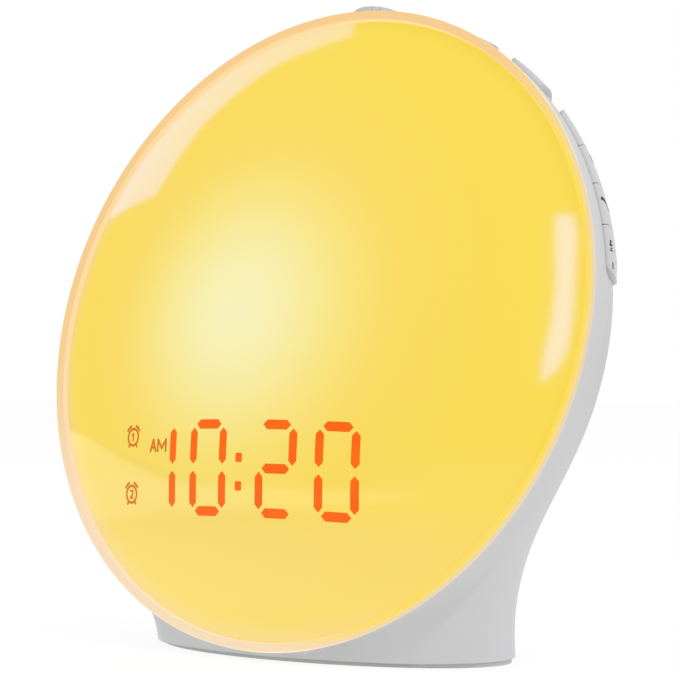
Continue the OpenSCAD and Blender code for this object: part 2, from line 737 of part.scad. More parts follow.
door_screw_x = door_x + door_l / 2 - 2.7;
cell_x = door_x - 2.2;
power_posts = [[-7, 5], [-17.5, 17], [16, 5], [16, 17]];
power_board_left = -21;
power_board_w = 41;
power_board_front = 1.2;

module base_plate() color([0.8, 0.8, 0.81]) difference() {
    union() {
        translate([0, 0, pad_t]) linear_extrude(base_t) ellipse(foot_a - plate_inset, foot_b - plate_inset);
        for (p = power_posts) translate([p[0], p[1], base_top - eps])
            cylinder(r = 2.2, h = power_board_z - base_top + eps, $fn = 48);
    }
    base_screw_places() {
        translate([0, 0, pad_t - 1]) cylinder(r = screw_hole_r, h = base_t + 2, $fn = 48);
        translate([0, 0, pad_t - 1]) cylinder(r = head_r + 0.2, h = head_t + 1, $fn = 48);
    }
    translate([0, 0, pad_t - 1]) linear_extrude(door_t + 1) door_outline(seat_gap);
    translate([cell_x - cell_d / 2 - 0.4, -cell_d / 2 - 0.4, 0])
        cube([cell_d + 0.8, cell_d + 0.8, base_top + 1]);
    translate([door_screw_x, 0, 0]) cylinder(r = pilot_r, h = base_top + 1, $fn = 48);
    for (p = power_posts) translate([p[0], p[1], base_top + 0.2])
        cylinder(r = pilot_r, h = power_board_z, $fn = 48);
}

module base_screws() color(steel) base_screw_places()
    translate([0, 0, pad_t + head_t]) rotate([180, 0, 0]) screw(8.5);

module base_pad() color([0.63, 0.67, 0.63]) difference() {
    linear_extrude(pad_t) ellipse(foot_a - pad_inset, foot_b - pad_inset);
    translate([0, 0, -1]) linear_extrude(pad_t + 2) door_outline(1);
    base_screw_places() translate([0, 0, -1]) cylinder(r = head_r + 0.6, h = pad_t + 2, $fn = 48);
}

module battery_door() color([0.8, 0.8, 0.81]) difference() {
    translate([0, 0, pad_t]) linear_extrude(door_t) door_outline(0);
    translate([door_screw_x, 0, pad_t - 1]) cylinder(r = screw_hole_r, h = door_t + 2, $fn = 48);
    translate([door_screw_x, 0, pad_t - 1]) cylinder(r = head_r + 0.1, h = 1.8, $fn = 48);
}

module battery_door_screw() color(steel) translate([door_screw_x, 0, pad_t + 0.8]) rotate([180, 0, 0])
    difference() {
        union() {
            translate([0, 0, -2.4]) cylinder(r = screw_r, h = 2.4 + eps, $fn = 48);
            cylinder(r = head_r, h = 0.8, $fn = 48);
        }
        translate([-head_r * 0.6, -slot_w / 2, 0.4]) cube([head_r * 1.2, slot_w, 1]);
    }

cell_z = pad_t + door_t + 0.1;

module coin_cell() color(steel) translate([cell_x, 0, cell_z]) union() {
    cylinder(r = cell_d / 2 - 1.2, h = 0.4);
    translate([0, 0, 0.4]) cylinder(d = cell_d, h = cell_t - 0.4);
}

module cell_holder() color(dark_plastic) difference() {
    translate([cell_x - cell_d / 2 - 1.6, -cell_d / 2 - 1.6, base_top])
        cube([cell_d + 3.2, cell_d + 3.2, cell_z + cell_t - base_top + 1.3]);
    translate([cell_x, 0, base_top - 1]) cylinder(d = cell_d + 0.4, h = cell_z + cell_t - base_top + 1.1);
}

// ---------- ports ----------

module power_board() color(board_green) difference() {
    translate([power_board_left, power_board_front, power_board_z])
        cube([power_board_w, port_back - power_board_front - seat_gap, board_t]);
    for (p = power_posts) translate([p[0], p[1], 0])
        cylinder(r = screw_hole_r, h = power_board_top + 1, $fn = 48);
}

module power_board_screws() color(steel) for (p = power_posts)
    translate([p[0], p[1], power_board_top]) screw(board_t + 3.4);

port_back = panel_face - panel_t - flange_t;
jack_h = 10.6;
jack_w = 9;
jack_z = power_board_top + jack_h / 2;
jack_len = 13;
jack_bore_r = 2.85;
usb_w = 14.4;
usb_h = 6.6;
usb_z = power_board_top + usb_h / 2;
usb_len = 14;

module along_y(from) translate([0, from, 0]) rotate([-90, 0, 0]) children();

module port_panel() color(housing_grey) difference() {
    union() {
        translate([-panel_w / 2, panel_face - panel_t, panel_z - panel_h / 2])
            cube([panel_w, panel_t, panel_h]);
        translate([-panel_w / 2 - panel_flange, port_back, panel_z - panel_h / 2 - 1.2])
            cube([panel_w + 2 * panel_flange, flange_t + eps, panel_h + 2.4]);
    }
    translate([jack_x, 0, jack_z]) along_y(port_back - 1) cylinder(r = 4, h = panel_t + 4);
    translate([usb_x - 6.6, port_back - 1, usb_z - 2.9]) cube([13.2, panel_t + 4, 5.8]);
    translate([gland_x, 0, panel_z]) along_y(port_back - 1) cylinder(r = 1.8, h = panel_t + 4);
}

module dc_jack() color(dark_plastic) difference() {
    translate([jack_x - jack_w / 2, port_back - jack_len, power_board_top]) cube([jack_w, jack_len, jack_h]);
    translate([jack_x, 0, jack_z]) along_y(port_back - jack_len + 3) cylinder(r = jack_bore_r, h = jack_len);
}

module dc_jack_pin() color(steel) translate([jack_x, 0, jack_z]) along_y(port_back - jack_len + 3)
    cylinder(r = 1, h = jack_len - 4);

module usb_shell() color(steel) difference() {
    translate([usb_x - usb_w / 2, port_back - usb_len, power_board_top]) cube([usb_w, usb_len, usb_h]);
    translate([usb_x - usb_w / 2 + 0.5, port_back - usb_len + 1, power_board_top + 0.5])
        cube([usb_w - 1, usb_len, usb_h - 1]);
}

module usb_tongue() color("white") translate([usb_x - 5.4, port_back - usb_len + 1, usb_z + 0.2])
    cube([10.8, usb_len - 2, 1.9]);

module antenna_gland() color(dark_plastic) translate([gland_x, 0, panel_z]) along_y(port_back) difference() {
    cylinder(r = 1.7, h = panel_t + flange_t + 0.6);
    translate([0, 0, -1]) cylinder(r = 0.8, h = panel_t + 6);
}

// ---------- speaker ----------

grille_back = grille_face - grille_t;
basket_top = grille_back - flange_t - gasket_t;

module speaker_grille() color(housing_grey) at_speaker() difference() {
    union() {
        translate([0, 0, grille_back]) cylinder(r = grille_r, h = grille_t);
        translate([0, 0, grille_back - flange_t]) cylinder(r = grille_r + grille_flange, h = flange_t + eps);
    }
    for (ring = [0:4]) for (i = [0:max(1, ring * 6) - 1])
        rotate([0, 0, i * 360 / max(1, ring * 6)]) translate([ring * 3.6, 0, grille_back - flange_t - 1])
            cylinder(r = 0.9, h = grille_t + 4, $fn = 24);
}

module speaker_gasket() color(dark_plastic) at_speaker() translate([0, 0, basket_top]) difference() {
    cylinder(d = speaker_d, h = gasket_t);
    translate([0, 0, -1]) cylinder(d = speaker_d - 4, h = gasket_t + 2);
}

magnet_r = 9;
magnet_t = 4.5;

module speaker_basket() color([0.3, 0.3, 0.32]) at_speaker() rotate_extrude() polygon([
    [speaker_d / 2 - 2, basket_top], [speaker_d / 2, basket_top], [speaker_d / 2, basket_top - 1.6],
    [speaker_d / 2 - 1.4, basket_top - 3.2], [magnet_r + 1.5, basket_top - speaker_depth + magnet_t],
    [magnet_r - 4, basket_top - speaker_depth + magnet_t],
    [magnet_r - 4, basket_top - speaker_depth + magnet_t + 1.2],
    [magnet_r + 0.9, basket_top - speaker_depth + magnet_t + 1.2], [speaker_d / 2 - 4.4, basket_top - 3.1],
    [speaker_d / 2 - 4.4, basket_top - 2], [speaker_d / 2 - 2, basket_top - 2]]);

// The cone's surround rests on the basket's ledge
module speaker_cone() color(dark_plastic) at_speaker() rotate_extrude() polygon([
    [0, basket_top - 5.6], [3.2, basket_top - 4.6], [4.4, basket_top - 5.6],
    [speaker_d / 2 - 5.6, basket_top - 1.9], [speaker_d / 2 - 4, basket_top - 0.9],
    [speaker_d / 2 - 2.3, basket_top - 1.3], [speaker_d / 2 - 2.3, basket_top - 1.9],
    [speaker_d / 2 - 3.8, basket_top - 1.9], [speaker_d / 2 - 4.1, basket_top - 1.5],
    [speaker_d / 2 - 5.4, basket_top - 2.6], [4.2, basket_top - 6.3], [3, basket_top - 5.2],
    [0, basket_top - 6.2]]);

module speaker_magnet() color(steel) at_speaker() translate([0, 0, basket_top - speaker_depth])
    cylinder(r = magnet_r, h = magnet_t);

// ---------- cell, encoder and knob ----------

module encoder_board() color(board_green) at_control(90) translate([0, 0, encoder_base - board_t])
    linear_extrude(board_t) square([encoder_side + 1, encoder_board_w], center = true);

module encoder_body() color(steel) at_control(90) difference() {
    union() {
        translate([0, 0, encoder_base]) linear_extrude(encoder_top - encoder_base)
            square(encoder_side, center = true);
        translate([0, 0, encoder_top - eps]) cylinder(r = bush_r, h = bush_top - encoder_top + eps);
    }
    translate([0, 0, encoder_floor]) cylinder(r = shaft_d / 2 + shaft_fit, h = bush_top);
}

module encoder_plunger() color(dark_plastic) at_control(90) translate([0, 0, plunger_base])
    cylinder(r = plunger_r, h = plunger_t);

module encoder_shaft() color(steel) at_control(90) difference() {
    translate([0, 0, plunger_base + plunger_t])
        cylinder(d = shaft_d, h = knob_top - knob_roof_t - seat_gap - plunger_base - plunger_t);
    translate([shaft_flat_x, -shaft_d, shaft_flat_from]) cube([shaft_d, 2 * shaft_d, disc_r]);
}

groove_r = 0.62;
groove_out = 0.15;

module knob_outline() difference() {
    circle(r = knob_r);
    for (i = [0:knob_grooves - 1]) rotate(i * 360 / knob_grooves)
        translate([knob_r + groove_out, 0]) circle(r = groove_r, $fn = 24);
}

// The knob has a dished top, a bore with a flat for the shaft and a ring-shaped hollow round the bore
module knob_cap() color(housing_grey) at_control(90) difference() {
    union() {
        translate([0, 0, knob_foot]) linear_extrude(knob_top - knob_foot - knob_edge_h) knob_outline();
        translate([0, 0, knob_top - knob_edge_h - eps])
            cylinder(r = knob_r - groove_r - groove_out, h = knob_edge_h + eps);
    }
    translate([0, 0, knob_top + knob_dish_r - knob_dish]) sphere(r = knob_dish_r, $fn = 180);
    difference() {
        translate([0, 0, knob_foot - 1])
            cylinder(d = shaft_d + 2 * slip, h = knob_top - knob_roof_t - knob_foot + 1);
        translate([shaft_flat_x + slip, -shaft_d, shaft_flat_from])
            cube([shaft_d, 2 * shaft_d, disc_r]);
    }
    translate([0, 0, knob_foot - 1]) difference() {
        cylinder(r = knob_r - knob_wall, h = knob_hollow_h + 1);
        cylinder(r = shaft_d / 2 + knob_wall, h = knob_hollow_h + 1);
    }
}

// ---------- keys ----------

key_front = controls_back - key_w / 2;
key_rear = controls_back + key_w / 2;
flange_top = bowl_at(key_rear + flange_out, wall) - inner_skin_gap - facet_gap;

// A key's section over its flange: the housing's own curve, lifted, with rounded shoulders
module key_profile(proud) {
    n = 12;
    rise = function (depth) proud * (1 - pow(abs(depth - controls_back) / (key_w / 2), 8));
    polygon(concat(
        [for (i = [0:n]) let (depth = key_front + i * key_w / n) [bowl_at(depth) + rise(depth), -depth]],
        [[flange_top - flange_t / 2, -key_rear], [flange_top - flange_t / 2, -key_front]]));
}

module key(i) color(housing_grey) {
    mid = key_mids[i];
    turn = key_steps[i] - degrees(key_gap, bowl_r);
    intersection() {
        ring_slice(mid, turn) key_profile(key_rises[i]);
        key_prism(mid, turn, key_lower_corners[i], key_upper_corners[i], 0);
    }
    ring_slice(mid, turn) bar(flange_top - flange_t, flange_top, key_rear + flange_out,
        key_front - flange_out);
    rotate([0, 0, mid]) translate([0, 0, -controls_back]) rotate([0, 90, 0])
        translate([0, 0, stem_end]) cylinder(d = stem_d, h = flange_top - flange_t / 2 - stem_end, $fn = 48);
}

module key_right(i) on_disc() key(i);

module key_left(i) on_disc() mirror([1, 0, 0]) key(i);

module switch_board() color(board_green) ring_slice((wall_start + wall_end) / 2, wall_end - wall_start)
    bar(switch_board_r, switch_board_r + switch_board_t, controls_back + switch_board_w / 2,
        controls_back - switch_board_w / 2);

module switches() color(dark_plastic) for (mid = key_mids)
    rotate([0, 0, mid]) translate([0, 0, -controls_back]) rotate([0, 90, 0]) difference() {
        translate([0, 0, switch_board_r + switch_board_t])
            linear_extrude(switch_h) square(switch_side, center = true);
        translate([0, 0, switch_floor]) cylinder(r = stem_d / 2 + stem_play, h = switch_h, $fn = 48);
    }

module key_board_right() on_disc() switch_board();

module key_board_left() on_disc() mirror([1, 0, 0]) switch_board();

module key_switches_right() on_disc() switches();

module key_switches_left() on_disc() mirror([1, 0, 0]) switches();

// ---------- the nodes ----------

housing();
bezel_ring();
front_dome();
time_digits();
alarm_symbols();
display_shroud();
display_board();
display_leds();
reflector_tray();
tray_screws();
light_board();
light_leds();
main_board();
main_board_chips();
main_board_screws();
base_plate();
base_screws();
base_pad();
power_board();
power_board_screws();
port_panel();
dc_jack();
dc_jack_pin();
usb_shell();
usb_tongue();
antenna_gland();
speaker_grille();
speaker_gasket();
speaker_basket();
speaker_cone();
speaker_magnet();
cell_holder();
coin_cell();
battery_door();
battery_door_screw();
encoder_board();
encoder_body();
encoder_plunger();
encoder_shaft();
knob_cap();
key_board_right();
key_board_left();
key_switches_right();
key_switches_left();
key_right(0);  // key_right_1
key_right(1);  // key_right_2
key_right(2);  // key_right_3
key_right(3);  // key_right_4
key_right(4);  // key_right_5
key_right(5);  // key_right_6
key_left(0);  // key_left_1
key_left(1);  // key_left_2
key_left(2);  // key_left_3
key_left(3);  // key_left_4
key_left(4);  // key_left_5
key_left(5);  // key_left_6
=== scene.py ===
# %% [markdown]
# A sunrise alarm clock is a bedside lamp and a clock in one: a domed disc glows like the morning
# sky, and lit digits shine through its lower part. The disc leans back on a grey shell that flares
# into a foot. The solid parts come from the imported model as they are, and this lesson gives them
# their finishes, dresses the large smooth shells, adds the fine prints, and builds the studio.

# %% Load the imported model
import bpy
import bmesh
import math
from mathutils import Vector, Matrix


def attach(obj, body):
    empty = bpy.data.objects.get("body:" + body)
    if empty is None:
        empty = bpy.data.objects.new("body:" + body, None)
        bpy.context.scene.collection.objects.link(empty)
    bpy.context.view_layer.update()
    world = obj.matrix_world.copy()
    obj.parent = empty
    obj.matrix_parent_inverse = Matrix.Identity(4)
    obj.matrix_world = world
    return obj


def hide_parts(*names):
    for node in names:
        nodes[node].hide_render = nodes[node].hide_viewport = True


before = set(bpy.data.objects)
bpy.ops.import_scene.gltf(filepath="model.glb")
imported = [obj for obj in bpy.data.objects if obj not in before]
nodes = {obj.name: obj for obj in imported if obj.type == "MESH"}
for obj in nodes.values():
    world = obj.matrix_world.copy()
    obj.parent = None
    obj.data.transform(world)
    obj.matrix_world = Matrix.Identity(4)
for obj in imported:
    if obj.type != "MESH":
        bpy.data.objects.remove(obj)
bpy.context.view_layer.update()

print("pieces from the model:", len(nodes))

# %% [markdown]
# Every length on the disc is easiest to think of in the disc's own frame: across, up the disc, and
# depth behind the bezel's face. The disc leans back by 14 degrees, so one small function turns such
# a place into the scene's metres.

# %% The disc's own frame
LEAN = math.radians(14)
DISC_HEIGHT = 0.0890623    # the disc's middle, over the table
FOOT_SET = 0.0126          # how far it lies in front of the foot's middle
BOWL_R = 0.0887            # the shell's bowl at its front


def disc_place(across, up, depth):
    return Vector((across,
                   up * math.sin(LEAN) + depth * math.cos(LEAN) - FOOT_SET,
                   DISC_HEIGHT + up * math.cos(LEAN) - depth * math.sin(LEAN)))


disc_turn = Matrix.Translation((0, -FOOT_SET, DISC_HEIGHT)) @ Matrix.Rotation(math.pi / 2 - LEAN, 4, "X")
disc_back = disc_turn.inverted()
print("disc centre:", [round(c, 4) for c in disc_place(0, 0, 0)])

# %% [markdown]
# The camera comes first, so that each piece can be judged through it. The photograph looks at the
# disc from about 37 degrees to its right, from a little above table height, with a long lens.

# %% Camera
camera_data = bpy.data.cameras.new("camera")
camera = bpy.data.objects.new("camera", camera_data)
bpy.context.scene.collection.objects.link(camera)
bpy.context.scene.camera = camera
camera.location = (0.3841, -0.5120, 0.0735)
swing = math.radians(36.69)
climb = math.radians(0.98)
look = Vector((-math.sin(swing) * math.cos(climb), math.cos(swing) * math.cos(climb), math.sin(climb)))
camera.rotation_euler = look.to_track_quat("-Z", "Y").to_euler()
camera_data.lens = 124.4
camera_data.sensor_width = 36
camera_data.clip_start = 0.05
camera_data.clip_end = 20
print("camera looks along", [round(c, 3) for c in look])

# %% [markdown]
# A finish is a tree of nodes. One helper makes a material with its main shader and hands back the
# parts that the next cells wire up, so that each finish below stays short.

# %% Helper for finishes
def finish(name, color, roughness, **sockets):
    """A material with one main shader. The extra values go onto the shader's own sockets."""
    material = bpy.data.materials.new(name)
    material.use_nodes = True
    tree = material.node_tree
    shader = tree.nodes["Principled BSDF"]
    shader.inputs["Base Color"].default_value = (*color, 1)
    shader.inputs["Roughness"].default_value = roughness
    for socket, value in sockets.items():
        shader.inputs[socket.replace("_", " ")].default_value = value
    return material, tree, shader


def add_node(tree, kind, **settings):
    """A new node with its settings."""
    node = tree.nodes.new(kind)
    for key, value in settings.items():
        setattr(node, key, value)
    return node


def grain(tree, shader, scale, strength, distance, detail=4.0):
    """A fine moulded texture: noise on the object's own coordinates, as a bump."""
    place = add_node(tree, "ShaderNodeTexCoord")
    noise = add_node(tree, "ShaderNodeTexNoise")
    noise.inputs["Scale"].default_value = scale
    noise.inputs["Detail"].default_value = detail
    bump = add_node(tree, "ShaderNodeBump")
    bump.inputs["Strength"].default_value = strength
    bump.inputs["Distance"].default_value = distance
    tree.links.new(place.outputs["Object"], noise.inputs["Vector"])
    tree.links.new(noise.outputs["Fac"], bump.inputs["Height"])
    tree.links.new(bump.outputs["Normal"], shader.inputs["Normal"])
    return place, noise


def mottle(tree, shader, place, dark, light, scale, socket="Base Color"):
    """Two close shades that drift into each other over the piece."""
    noise = add_node(tree, "ShaderNodeTexNoise")
    noise.inputs["Scale"].default_value = scale
    noise.inputs["Detail"].default_value = 3.0
    ramp = add_node(tree, "ShaderNodeValToRGB")
    ramp.color_ramp.elements[0].position = 0.35
    ramp.color_ramp.elements[0].color = (*dark, 1)
    ramp.color_ramp.elements[1].position = 0.65
    ramp.color_ramp.elements[1].color = (*light, 1)
    tree.links.new(place.outputs["Object"], noise.inputs["Vector"])
    tree.links.new(noise.outputs["Fac"], ramp.inputs["Fac"])
    tree.links.new(ramp.outputs["Color"], shader.inputs[socket])


def paint(material, *names):
    """Gives a finish to nodes of the model or to new pieces."""
    for name in names:
        piece = nodes[name] if name in nodes else bpy.data.objects[name]
        piece.data.materials.clear()
        piece.data.materials.append(material)


print("finish helpers ready")

# %% [markdown]
# Pieces that the model doesn't hold are made as a bmesh. One helper turns each finished bmesh into an
# object of the scene, and a small one holds a number between 0 and 1.

# %% Helpers for new pieces
MERGE = 0.000002    # points closer than this are one point


def new_piece(name, bm):
    """An object in the scene with the bmesh as its mesh. The bmesh is freed."""
    mesh = bpy.data.meshes.new(name)
    bm.to_mesh(mesh)
    bm.free()
    piece = bpy.data.objects.new(name, mesh)
    bpy.context.scene.collection.objects.link(piece)
    return piece


def clamp(value):
    return max(0, min(1, value))


print("piece helpers ready")

# %% [markdown]
# The shell and the keys are moulded in the same light grey plastic, with a very fine even grain that
# keeps fingerprints away. Two shades of the same grey drift into each other, and the grain is a bump.

# %% Grey shell plastic
shell_grey, tree, shader = finish("shell_grey", (0.62, 0.62, 0.63), 0.48, Specular_IOR_Level=0.35)
place, _ = grain(tree, shader, 2600, 0.06, 0.0002)
mottle(tree, shader, place, (0.612, 0.612, 0.622), (0.632, 0.632, 0.642), 18)

key_grey, tree, shader = finish("key_grey", (0.60, 0.60, 0.61), 0.42, Specular_IOR_Level=0.4)
place, _ = grain(tree, shader, 2600, 0.05, 0.0002)
mottle(tree, shader, place, (0.592, 0.592, 0.602), (0.612, 0.612, 0.622), 40)

base_grey, tree, shader = finish("base_grey", (0.50, 0.50, 0.51), 0.55)
place, _ = grain(tree, shader, 1500, 0.15, 0.0003)
mottle(tree, shader, place, (0.48, 0.48, 0.49), (0.52, 0.52, 0.53), 30)
paint(shell_grey, "housing", "port_panel", "speaker_grille", "knob_cap")
paint(key_grey, *[f"key_{side}_{i}" for side in ("right", "left") for i in range(1, 7)])
paint(base_grey, "base_plate", "battery_door")
print("grey finishes done")

# %% [markdown]
# Moulded keys have softly rounded edges that catch a line of light. The model's keys have sharp ones,
# so each is copied, its loose triangles are joined, and every edge that turns by more than 50 degrees
# is bevelled. The copies stand in for the model's keys and ride on the same moving bodies.

# %% Form of the keys
BOWL_DEPTH, BOWL_SQUARE = 44.8, 2.36    # the bowl's depth in millimetres, and the power of its curve
KEY_MIDS = [66.2, 51.4, 37.15, 28.925, 21.175, 12.95]    # angles over the horizontal, in degrees
KEY_DEPTH, KEY_HALF = 13, 5.6           # a key's middle behind the disc's front, and its half width
KEY_RISE, SHOULDER = 1.4, 8             # a strip key's height over the bowl, and the power of its shoulders


def bowl_radius(depth):
    """Radius of the bowl at a depth behind the disc's front, in millimetres."""
    return BOWL_R * 1000 * (1 - clamp(depth / BOWL_DEPTH) ** BOWL_SQUARE) ** (1 / BOWL_SQUARE)


def key_radius(depth):
    """Radius of a strip key's outer face at a depth, in millimetres."""
    return bowl_radius(depth) + KEY_RISE * (1 - abs((depth - KEY_DEPTH) / KEY_HALF) ** SHOULDER)


def round_place(radius, angle, depth):
    """The place at a radius, an angle over the horizontal and a depth, in millimetres and degrees."""
    return disc_place(radius * math.cos(math.radians(angle)) / 1000,
                      radius * math.sin(math.radians(angle)) / 1000, depth / 1000)


print("key face stands at", round(key_radius(KEY_DEPTH), 2), "mm")

# %% Soft copies of the keys
SHARP_TURN, CREASE_TURN = math.radians(50), math.radians(40)
KEY_ROUND = 0.00035
STRIP_GROWTH = 1.004
FALL_START, FALL_RUN, FALL_SHARE = 10, 6.5, 0.85    # over the depth, in millimetres
END_START, END_RUN, END_SHIFT = 0.8, 1.7, 0.3       # under the key's middle, in degrees
STRIP_FALL = 0.4


def soft_key(side, number):
    """A copy with rounded edges. Strip keys grow a little, and single keys fall away at the rear."""
    name = f"key_{side}_{number}"
    mid = KEY_MIDS[number - 1]
    sign = 1 if side == "right" else -1
    single, last = number < 3, number == 6
    bm = bmesh.new()
    bm.from_mesh(nodes[name].data)
    bmesh.ops.remove_doubles(bm, verts=bm.verts, dist=MERGE)
    sharp = [e for e in bm.edges if len(e.link_faces) == 2 and e.calc_face_angle(0) > SHARP_TURN]
    bmesh.ops.bevel(bm, geom=sharp, offset=KEY_ROUND, offset_type="OFFSET", segments=3, profile=0.5,
                    material=-1, affect="EDGES", clamp_overlap=True)
    for v in bm.verts:
        spot = disc_back @ v.co
        radius, depth = math.hypot(spot.x, spot.y) * 1000, -spot.z * 1000
        angle = math.degrees(math.atan2(spot.y, sign * spot.x))
        if not single:
            angle = mid + (angle - mid) * STRIP_GROWTH
        if radius > bowl_radius(depth) and (single or last):
            # The strip's last key falls away too, but only towards its lower end
            fall = clamp((depth - FALL_START) / FALL_RUN)
            low_end = clamp((mid - angle - END_START) / END_RUN)
            if last:
                fall *= STRIP_FALL * low_end
            radius -= FALL_SHARE * fall * fall * (3 - 2 * fall) * (radius - bowl_radius(depth))
            angle += END_SHIFT * fall * low_end
        place = round_place(radius, angle, depth)
        v.co = Vector((sign * place.x, place.y, place.z))
    bmesh.ops.recalc_face_normals(bm, faces=bm.faces)
    piece = new_piece(f"{name}_soft", bm)
    piece.data.shade_smooth()
    piece.data.set_sharp_from_angle(angle=CREASE_TURN)
    paint(key_grey, piece.name)
    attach(piece, name)
    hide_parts(name)
    return len(piece.data.polygons)


print("key faces:", [soft_key(side, number) for side in ("right", "left") for number in range(1, 7)])

# %% [markdown]
# The keys of the right strip carry tiny dark prints, far too small to read. Three plain marks stand
# in for them: a sun, a music note and a speaker with a minus. Each stroke is a thin closed ribbon
# that lies on the key and moves with it.

# %% Prints on the keys
PRINT_RADIUS = 88
RIBBON_STEP = 0.4
RIBBON = ((1, 0.05), (-1, 0.05), (-1, -0.15), (1, -0.15))    # its four edges: the side, and the height


def stroke(bm, mid, start, end, width):
    """A ribbon between two points, each (millimetres along the key, depth)."""
    run = Vector((end[0] - start[0], end[1] - start[1]))
    aside = Vector((-run.y, run.x)).normalized() * width / 2
    count = max(2, round(run.length / RIBBON_STEP))
    rows = []
    for i in range(count + 1):
        row = []
        for edge, lift in RIBBON:
            along = start[0] + run.x * i / count + edge * aside.x
            depth = start[1] + run.y * i / count + edge * aside.y
            radius = key_radius(depth) + lift
            row.append(bm.verts.new(round_place(radius, mid + math.degrees(along / PRINT_RADIUS), depth)))
        rows.append(row)
    for one, two in zip(rows, rows[1:]):
        for k in range(4):
            bm.faces.new((one[k], one[(k + 1) % 4], two[(k + 1) % 4], two[k]))
    bm.faces.new(rows[0][::-1])
    bm.faces.new(rows[-1])


def print_marks(name, number, strokes):
    """One print on a key of the right strip, from strokes of (start, end, width)."""
    bm = bmesh.new()
    for start, end, width in strokes:
        stroke(bm, KEY_MIDS[number - 1], start, end, width)
    bmesh.ops.recalc_face_normals(bm, faces=bm.faces)
    piece = new_piece(name, bm)
    paint(print_ink, name)
    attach(piece, f"key_right_{number}")
    return len(strokes)


print_ink, tree, shader = finish("print_ink", (0.02, 0.02, 0.022), 0.6, Specular_IOR_Level=0.2)
place, _ = grain(tree, shader, 2500, 0.05, 0.0001)
mottle(tree, shader, place, (0.015, 0.015, 0.018), (0.03, 0.03, 0.033), 400)
SUN_ALONG, SUN_DEPTH, RAY_START, RAY_END = 2.6, 11, 0.75, 1.25
rays_of_sun = [((SUN_ALONG + RAY_START * math.cos(a), SUN_DEPTH + RAY_START * math.sin(a)),
                (SUN_ALONG + RAY_END * math.cos(a), SUN_DEPTH + RAY_END * math.sin(a)), 0.2)
               for a in [math.radians(45 * i) for i in range(8)]]
done = [print_marks("sun_mark", 4, rays_of_sun + [((2.15, 11), (3.05, 11), 0.8)]),
        print_marks("note_mark", 5, [((1.5, 8.2), (0.85, 10.3), 0.9), ((0.8, 10.4), (-0.1, 12.5), 0.45),
                                     ((-0.15, 12.6), (-0.35, 13.3), 0.8)]),
        print_marks("speaker_mark", 6, [((2.5, 8.9), (1.6, 8.9), 0.6), ((1.45, 8.9), (0.9, 8.9), 1.2),
                                        ((0.3, 8.4), (0.3, 9.5), 0.25), ((-0.3, 8.2), (-0.3, 9.8), 0.25),
                                        ((-3.3, 9.2), (-5.1, 9.2), 0.4)])]
print("strokes of the prints:", done)

# %% [markdown]
# The pieces inside are seldom seen, but each gets its own finish: green solder mask with paler and
# darker patches where copper lies under it, plated steel with fine scratches along one way, black
# plastic with a soft grain, and dull rubber.

# %% Finishes of the inner pieces
board_green, tree, shader = finish("board_green", (0.02, 0.16, 0.07), 0.35)
place, _ = grain(tree, shader, 400, 0.2, 0.0002)
mottle(tree, shader, place, (0.012, 0.12, 0.05), (0.03, 0.20, 0.09), 160)

steel_plate, tree, shader = finish("steel_plate", (0.62, 0.62, 0.64), 0.3, Metallic=1.0)
place, noise = grain(tree, shader, 900, 0.1, 0.0001)
stretch = add_node(tree, "ShaderNodeMapping")
stretch.inputs["Scale"].default_value = (1, 1, 0.08)
tree.links.new(place.outputs["Object"], stretch.inputs["Vector"])
tree.links.new(stretch.outputs["Vector"], noise.inputs["Vector"])

black_plastic, tree, shader = finish("black_plastic", (0.02, 0.02, 0.021), 0.5)
place, _ = grain(tree, shader, 1500, 0.15, 0.0002)
mottle(tree, shader, place, (0.016, 0.016, 0.017), (0.026, 0.026, 0.027), 60)

white_plastic, tree, shader = finish("white_plastic", (0.84, 0.84, 0.83), 0.4)
place, _ = grain(tree, shader, 900, 0.08, 0.0003)
mottle(tree, shader, place, (0.81, 0.81, 0.80), (0.86, 0.86, 0.85), 25)

dull_rubber, tree, shader = finish("dull_rubber", (0.03, 0.03, 0.03), 0.8)
place, _ = grain(tree, shader, 2200, 0.4, 0.0003)
mottle(tree, shader, place, (0.022, 0.022, 0.022), (0.04, 0.04, 0.04), 120)

pale_resin, tree, shader = finish("pale_resin", (0.9, 0.82, 0.45), 0.25, Subsurface_Weight=0.2)
place, _ = grain(tree, shader, 500, 0.05, 0.0001)
mottle(tree, shader, place, (0.88, 0.78, 0.38), (0.93, 0.86, 0.52), 300)

cone_paper, tree, shader = finish("cone_paper", (0.03, 0.03, 0.03), 0.75)
place, _ = grain(tree, shader, 1200, 0.5, 0.0004)
mottle(tree, shader, place, (0.02, 0.02, 0.02), (0.045, 0.045, 0.045), 90)

paint(board_green, "display_board", "main_board", "power_board", "encoder_board",
      "key_board_right", "key_board_left")
paint(steel_plate, "tray_screws", "main_board_screws", "base_screws", "power_board_screws",
      "dc_jack_pin", "usb_shell", "coin_cell", "battery_door_screw", "encoder_body",
      "encoder_shaft", "speaker_magnet")
paint(black_plastic, "main_board_chips", "dc_jack", "antenna_gland", "speaker_basket",
      "cell_holder", "encoder_plunger", "key_switches_right", "key_switches_left")
paint(white_plastic, "display_shroud", "reflector_tray", "light_board", "usb_tongue")
paint(dull_rubber, "speaker_gasket")
paint(pale_resin, "display_leds", "light_leds")
paint(cone_paper, "speaker_cone")
print("inner finishes done")

# %% [markdown]
# The anti-slip pad is soft grey-green silicone. It is matte and a little translucent, so its edge
# looks slightly lighter than a painted one would.

# %% Pad silicone
pad_green, tree, shader = finish("pad_green", (0.54, 0.59, 0.55), 0.7, Subsurface_Weight=0.1)
place, _ = grain(tree, shader, 1800, 0.2, 0.0003)
mottle(tree, shader, place, (0.52, 0.57, 0.53), (0.56, 0.61, 0.57), 60)
paint(pad_green, "base_pad")
print("pad painted")

